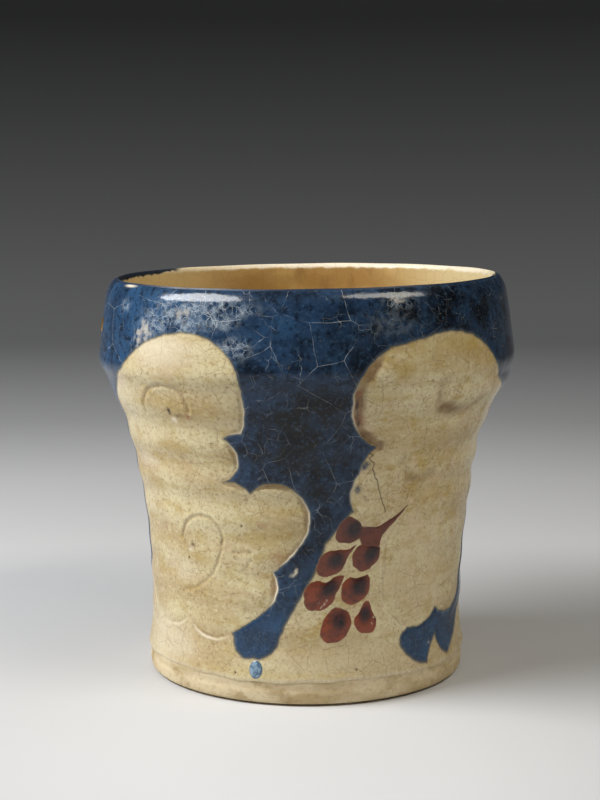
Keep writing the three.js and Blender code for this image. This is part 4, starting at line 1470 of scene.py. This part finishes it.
class VASE_OT_grapes(bpy.types.Operator):
    """Lays on the grapes, their dark spots and the stems, on the front and the back"""

    bl_idname = "vase.grapes"
    bl_label = "Grapes"

    def execute(self, context):
        slip = sizes().slip
        slips = {slot: iron_slip(slot) for slot in ("iron_slip", "dark_slip")}
        for side, turn in HALVES.items():
            outline = even(traced(STEM, True, turn))
            stem, flat = dab(f"stem_slip_{side}", outline, slip - STEM_THINNER)
            self.slipped(stem, flat, np.zeros(len(flat)), slips, "iron_slip", f"stem_{side}")
            for number, (corners, spot) in enumerate(zip(GRAPES, SPOTS), 1):
                spot = (spot[0] + turn, *spot[1:])
                outline = even(traced(corners, True, turn))
                grape, flat = dab(f"grape_slip_{side}_{number}", outline, slip)
                node = f"grape_{side}_{number}"
                self.slipped(grape, flat, smudge_at(flat, spot), slips, "iron_slip", node)
                smudge, flat = dab(f"grape_smudge_{side}_{number}", ellipse(*spot), SMUDGE_HEIGHT, outline)
                node = f"grape_spot_{side}_{number}"
                self.slipped(smudge, flat, smudge_at(flat, spot), slips, "dark_slip", node)
        return {"FINISHED"}

    def slipped(self, obj, flat, darkness, slips, slot, node):
        set_attribute(obj, "smudge", darkness)
        set_attribute(obj, "bubble", blots(flat, BUBBLES))
        thickened(obj, SLIP_UNDER)
        finished(obj, slips[slot], slot, node)


class VASE_OT_drop_and_mend(bpy.types.Operator):
    """Adds the stray drop of blue under the front tail and the gold mend in the rim band"""

    bl_idname = "vase.drop_and_mend"
    bl_label = "Drop and mend"

    def execute(self, context):
        drop, _ = dab("glaze_drop", ellipse(*DROP), DROP_HEIGHT)
        thickened(drop, GLAZE_UNDER)
        finished(drop, drop_glaze(), "blue_glaze", "blue_drop")
        mend, _ = dab("lacquer_mend", ellipse(*MEND), MEND_HEIGHT)
        thickened(mend, GLAZE_UNDER)
        finished(mend, gold_lacquer(), "gold_lacquer", "gold_mend")
        return {"FINISHED"}


# Stage

FLOOR_RADIUS = 1.15
COVE_RADIUS = 0.5
COVE_HEIGHT = 1.5
COVE_STEPS = 96
COVE_ROWS = (8, 16)  # across the floor and up the sweep
GREY_MIDDLE = -0.12  # painted light: the floor is palest a little in front of the vase
FALLOFF_GREYS = (  # distance out and up from there, and the grey as a display value: painted shade, darker further out as the light falls off
    (0.05, 212), (0.12, 202), (0.2, 202), (0.35, 204), (0.52, 197), (0.75, 172), (1.12, 160),
    (1.46, 139), (1.75, 110), (1.93, 86), (2.11, 53),
)
GREYS_END = 2.4
GREY_CAST = (-1, 0, 2)  # cool, against the warm fill light
KEY_PLACE = (-0.746, -0.228, 0.778)
KEY_SIZE = (0.84, 0.32)
KEY_ROLL = math.radians(22)
FILL_PLACE = (0.569, -0.399, 0.869)
FILL_SIZE = (0.74, 0.2)
FILL_ROLL = math.radians(-22)
CAMERA_PLACE = (-2.4 * MM, -667.7 * MM, 197.8 * MM)
CAMERA_PITCH = math.radians(8.14)
CAMERA_LENS = 79.3


class VASE_OT_stage(bpy.types.Operator):
    """Sets up the floor and backdrop, the lights and the camera"""

    bl_idname = "vase.stage"
    bl_label = "Stage"

    def execute(self, context):
        scene = context.scene
        settings = scene.stage_settings
        self.cove()
        self.softbox("key_light", KEY_PLACE, KEY_SIZE, KEY_ROLL, settings.key)
        fill = self.softbox("fill_light", FILL_PLACE, FILL_SIZE, FILL_ROLL, settings.fill)
        fill.data.color = settings.fill_tint
        scene.world = bpy.data.worlds.new("Sky")
        scene.world.use_nodes = True
        sky = scene.world.node_tree.nodes["Background"]
        sky.inputs["Color"].default_value = (1, 1, 1, 1)
        sky.inputs["Strength"].default_value = settings.sky
        bpy.ops.object.camera_add(location=CAMERA_PLACE, rotation=(math.pi / 2 - CAMERA_PITCH, 0, 0))
        scene.camera = context.object
        scene.camera.data.lens = CAMERA_LENS
        scene.view_settings.view_transform = "Standard"
        return {"FINISHED"}

    def cove(self):
        """A round floor that sweeps up into a backdrop on all sides."""
        sweep = quarter((FLOOR_RADIUS, COVE_RADIUS), COVE_RADIUS, COVE_RADIUS, -1, 0, COVE_ROWS[1])
        rings = [(radius, 0) for radius in np.linspace(0, FLOOR_RADIUS, COVE_ROWS[0])]
        cove = turned("cove", [*rings, *sweep, (FLOOR_RADIUS + COVE_RADIUS, COVE_HEIGHT)], COVE_STEPS)
        face_outwards(cove, True)
        bpy.ops.object.shade_smooth()
        # The grey darkens with distance from the vase: painted shade standing in for the light's falloff
        f = Finish("backdrop")
        back = f.plus(f.y, -GREY_MIDDLE)
        out = f.maths("SQRT", f.plus(f.times(f.x, f.x), f.times(back, back)))
        ramp = f.add("ValToRGB")
        f.put(ramp.inputs[0], f.times(f.plus(out, f.z), 1 / GREYS_END))
        stops = ramp.color_ramp.elements
        while len(stops) < len(FALLOFF_GREYS):
            stops.new(1)
        for stop, (away, grey) in zip(stops, FALLOFF_GREYS):
            stop.position = away / GREYS_END
            stop.color = (*linear([grey + cast for cast in GREY_CAST]), 1)
        f.set(base_color=ramp.outputs[0], roughness=0.9)
        cove.data.materials.append(f.material)

    def softbox(self, name, place, size, roll, watts):
        deselect()
        bpy.ops.object.light_add(type="AREA", location=place)
        light = bpy.context.object
        light.name = name
        light.data.shape = "ELLIPSE"
        light.data.size, light.data.size_y = size
        light.data.energy = watts
        aim = np.subtract((0, 0, sizes().height / 2), place)
        level = math.hypot(aim[0], aim[1])
        heading = Matrix.Rotation(math.atan2(aim[1], aim[0]) - math.pi / 2, 3, "Z")
        pitch = Matrix.Rotation(math.atan2(level, -aim[2]), 3, "X")
        light.rotation_euler = (heading @ pitch @ Matrix.Rotation(roll, 3, "Z")).to_euler()
        return light


class VASE_PT_sidebar(bpy.types.Panel):
    """The vase's steps and settings"""

    bl_label = "Raku vase"
    bl_space_type = "VIEW_3D"
    bl_region_type = "UI"
    bl_category = "Vase"

    def draw(self, context):
        for operator in STEPS:
            self.layout.operator(operator.bl_idname)
        for group in GROUPS:
            settings = getattr(context.scene, group)
            box = self.layout.box()
            for name in settings.bl_rna.properties.keys()[2:]:
                box.prop(settings, name)


STEPS = (
    VASE_OT_stage,
    VASE_OT_clay_body,
    VASE_OT_inside,
    VASE_OT_outside,
    VASE_OT_grapes,
    VASE_OT_drop_and_mend,
)
GROUPS = {"vase_sizes": VaseSizes, "glaze_colours": GlazeColours, "stage_settings": StageSettings}


def register():
    for kind in (*GROUPS.values(), *STEPS, VASE_PT_sidebar):
        bpy.utils.register_class(kind)
    for name, group in GROUPS.items():
        setattr(bpy.types.Scene, name, bpy.props.PointerProperty(type=group))


def unregister():
    for name in GROUPS:
        delattr(bpy.types.Scene, name)
    for kind in (VASE_PT_sidebar, *reversed(STEPS), *GROUPS.values()):
        bpy.utils.unregister_class(kind)


def main():
    register()
    bpy.ops.vase.stage()
    bpy.ops.vase.clay_body()
    bpy.ops.vase.inside()
    bpy.ops.vase.outside()
    bpy.ops.vase.grapes()
    bpy.ops.vase.drop_and_mend()


if __name__ == "__main__":
    main()
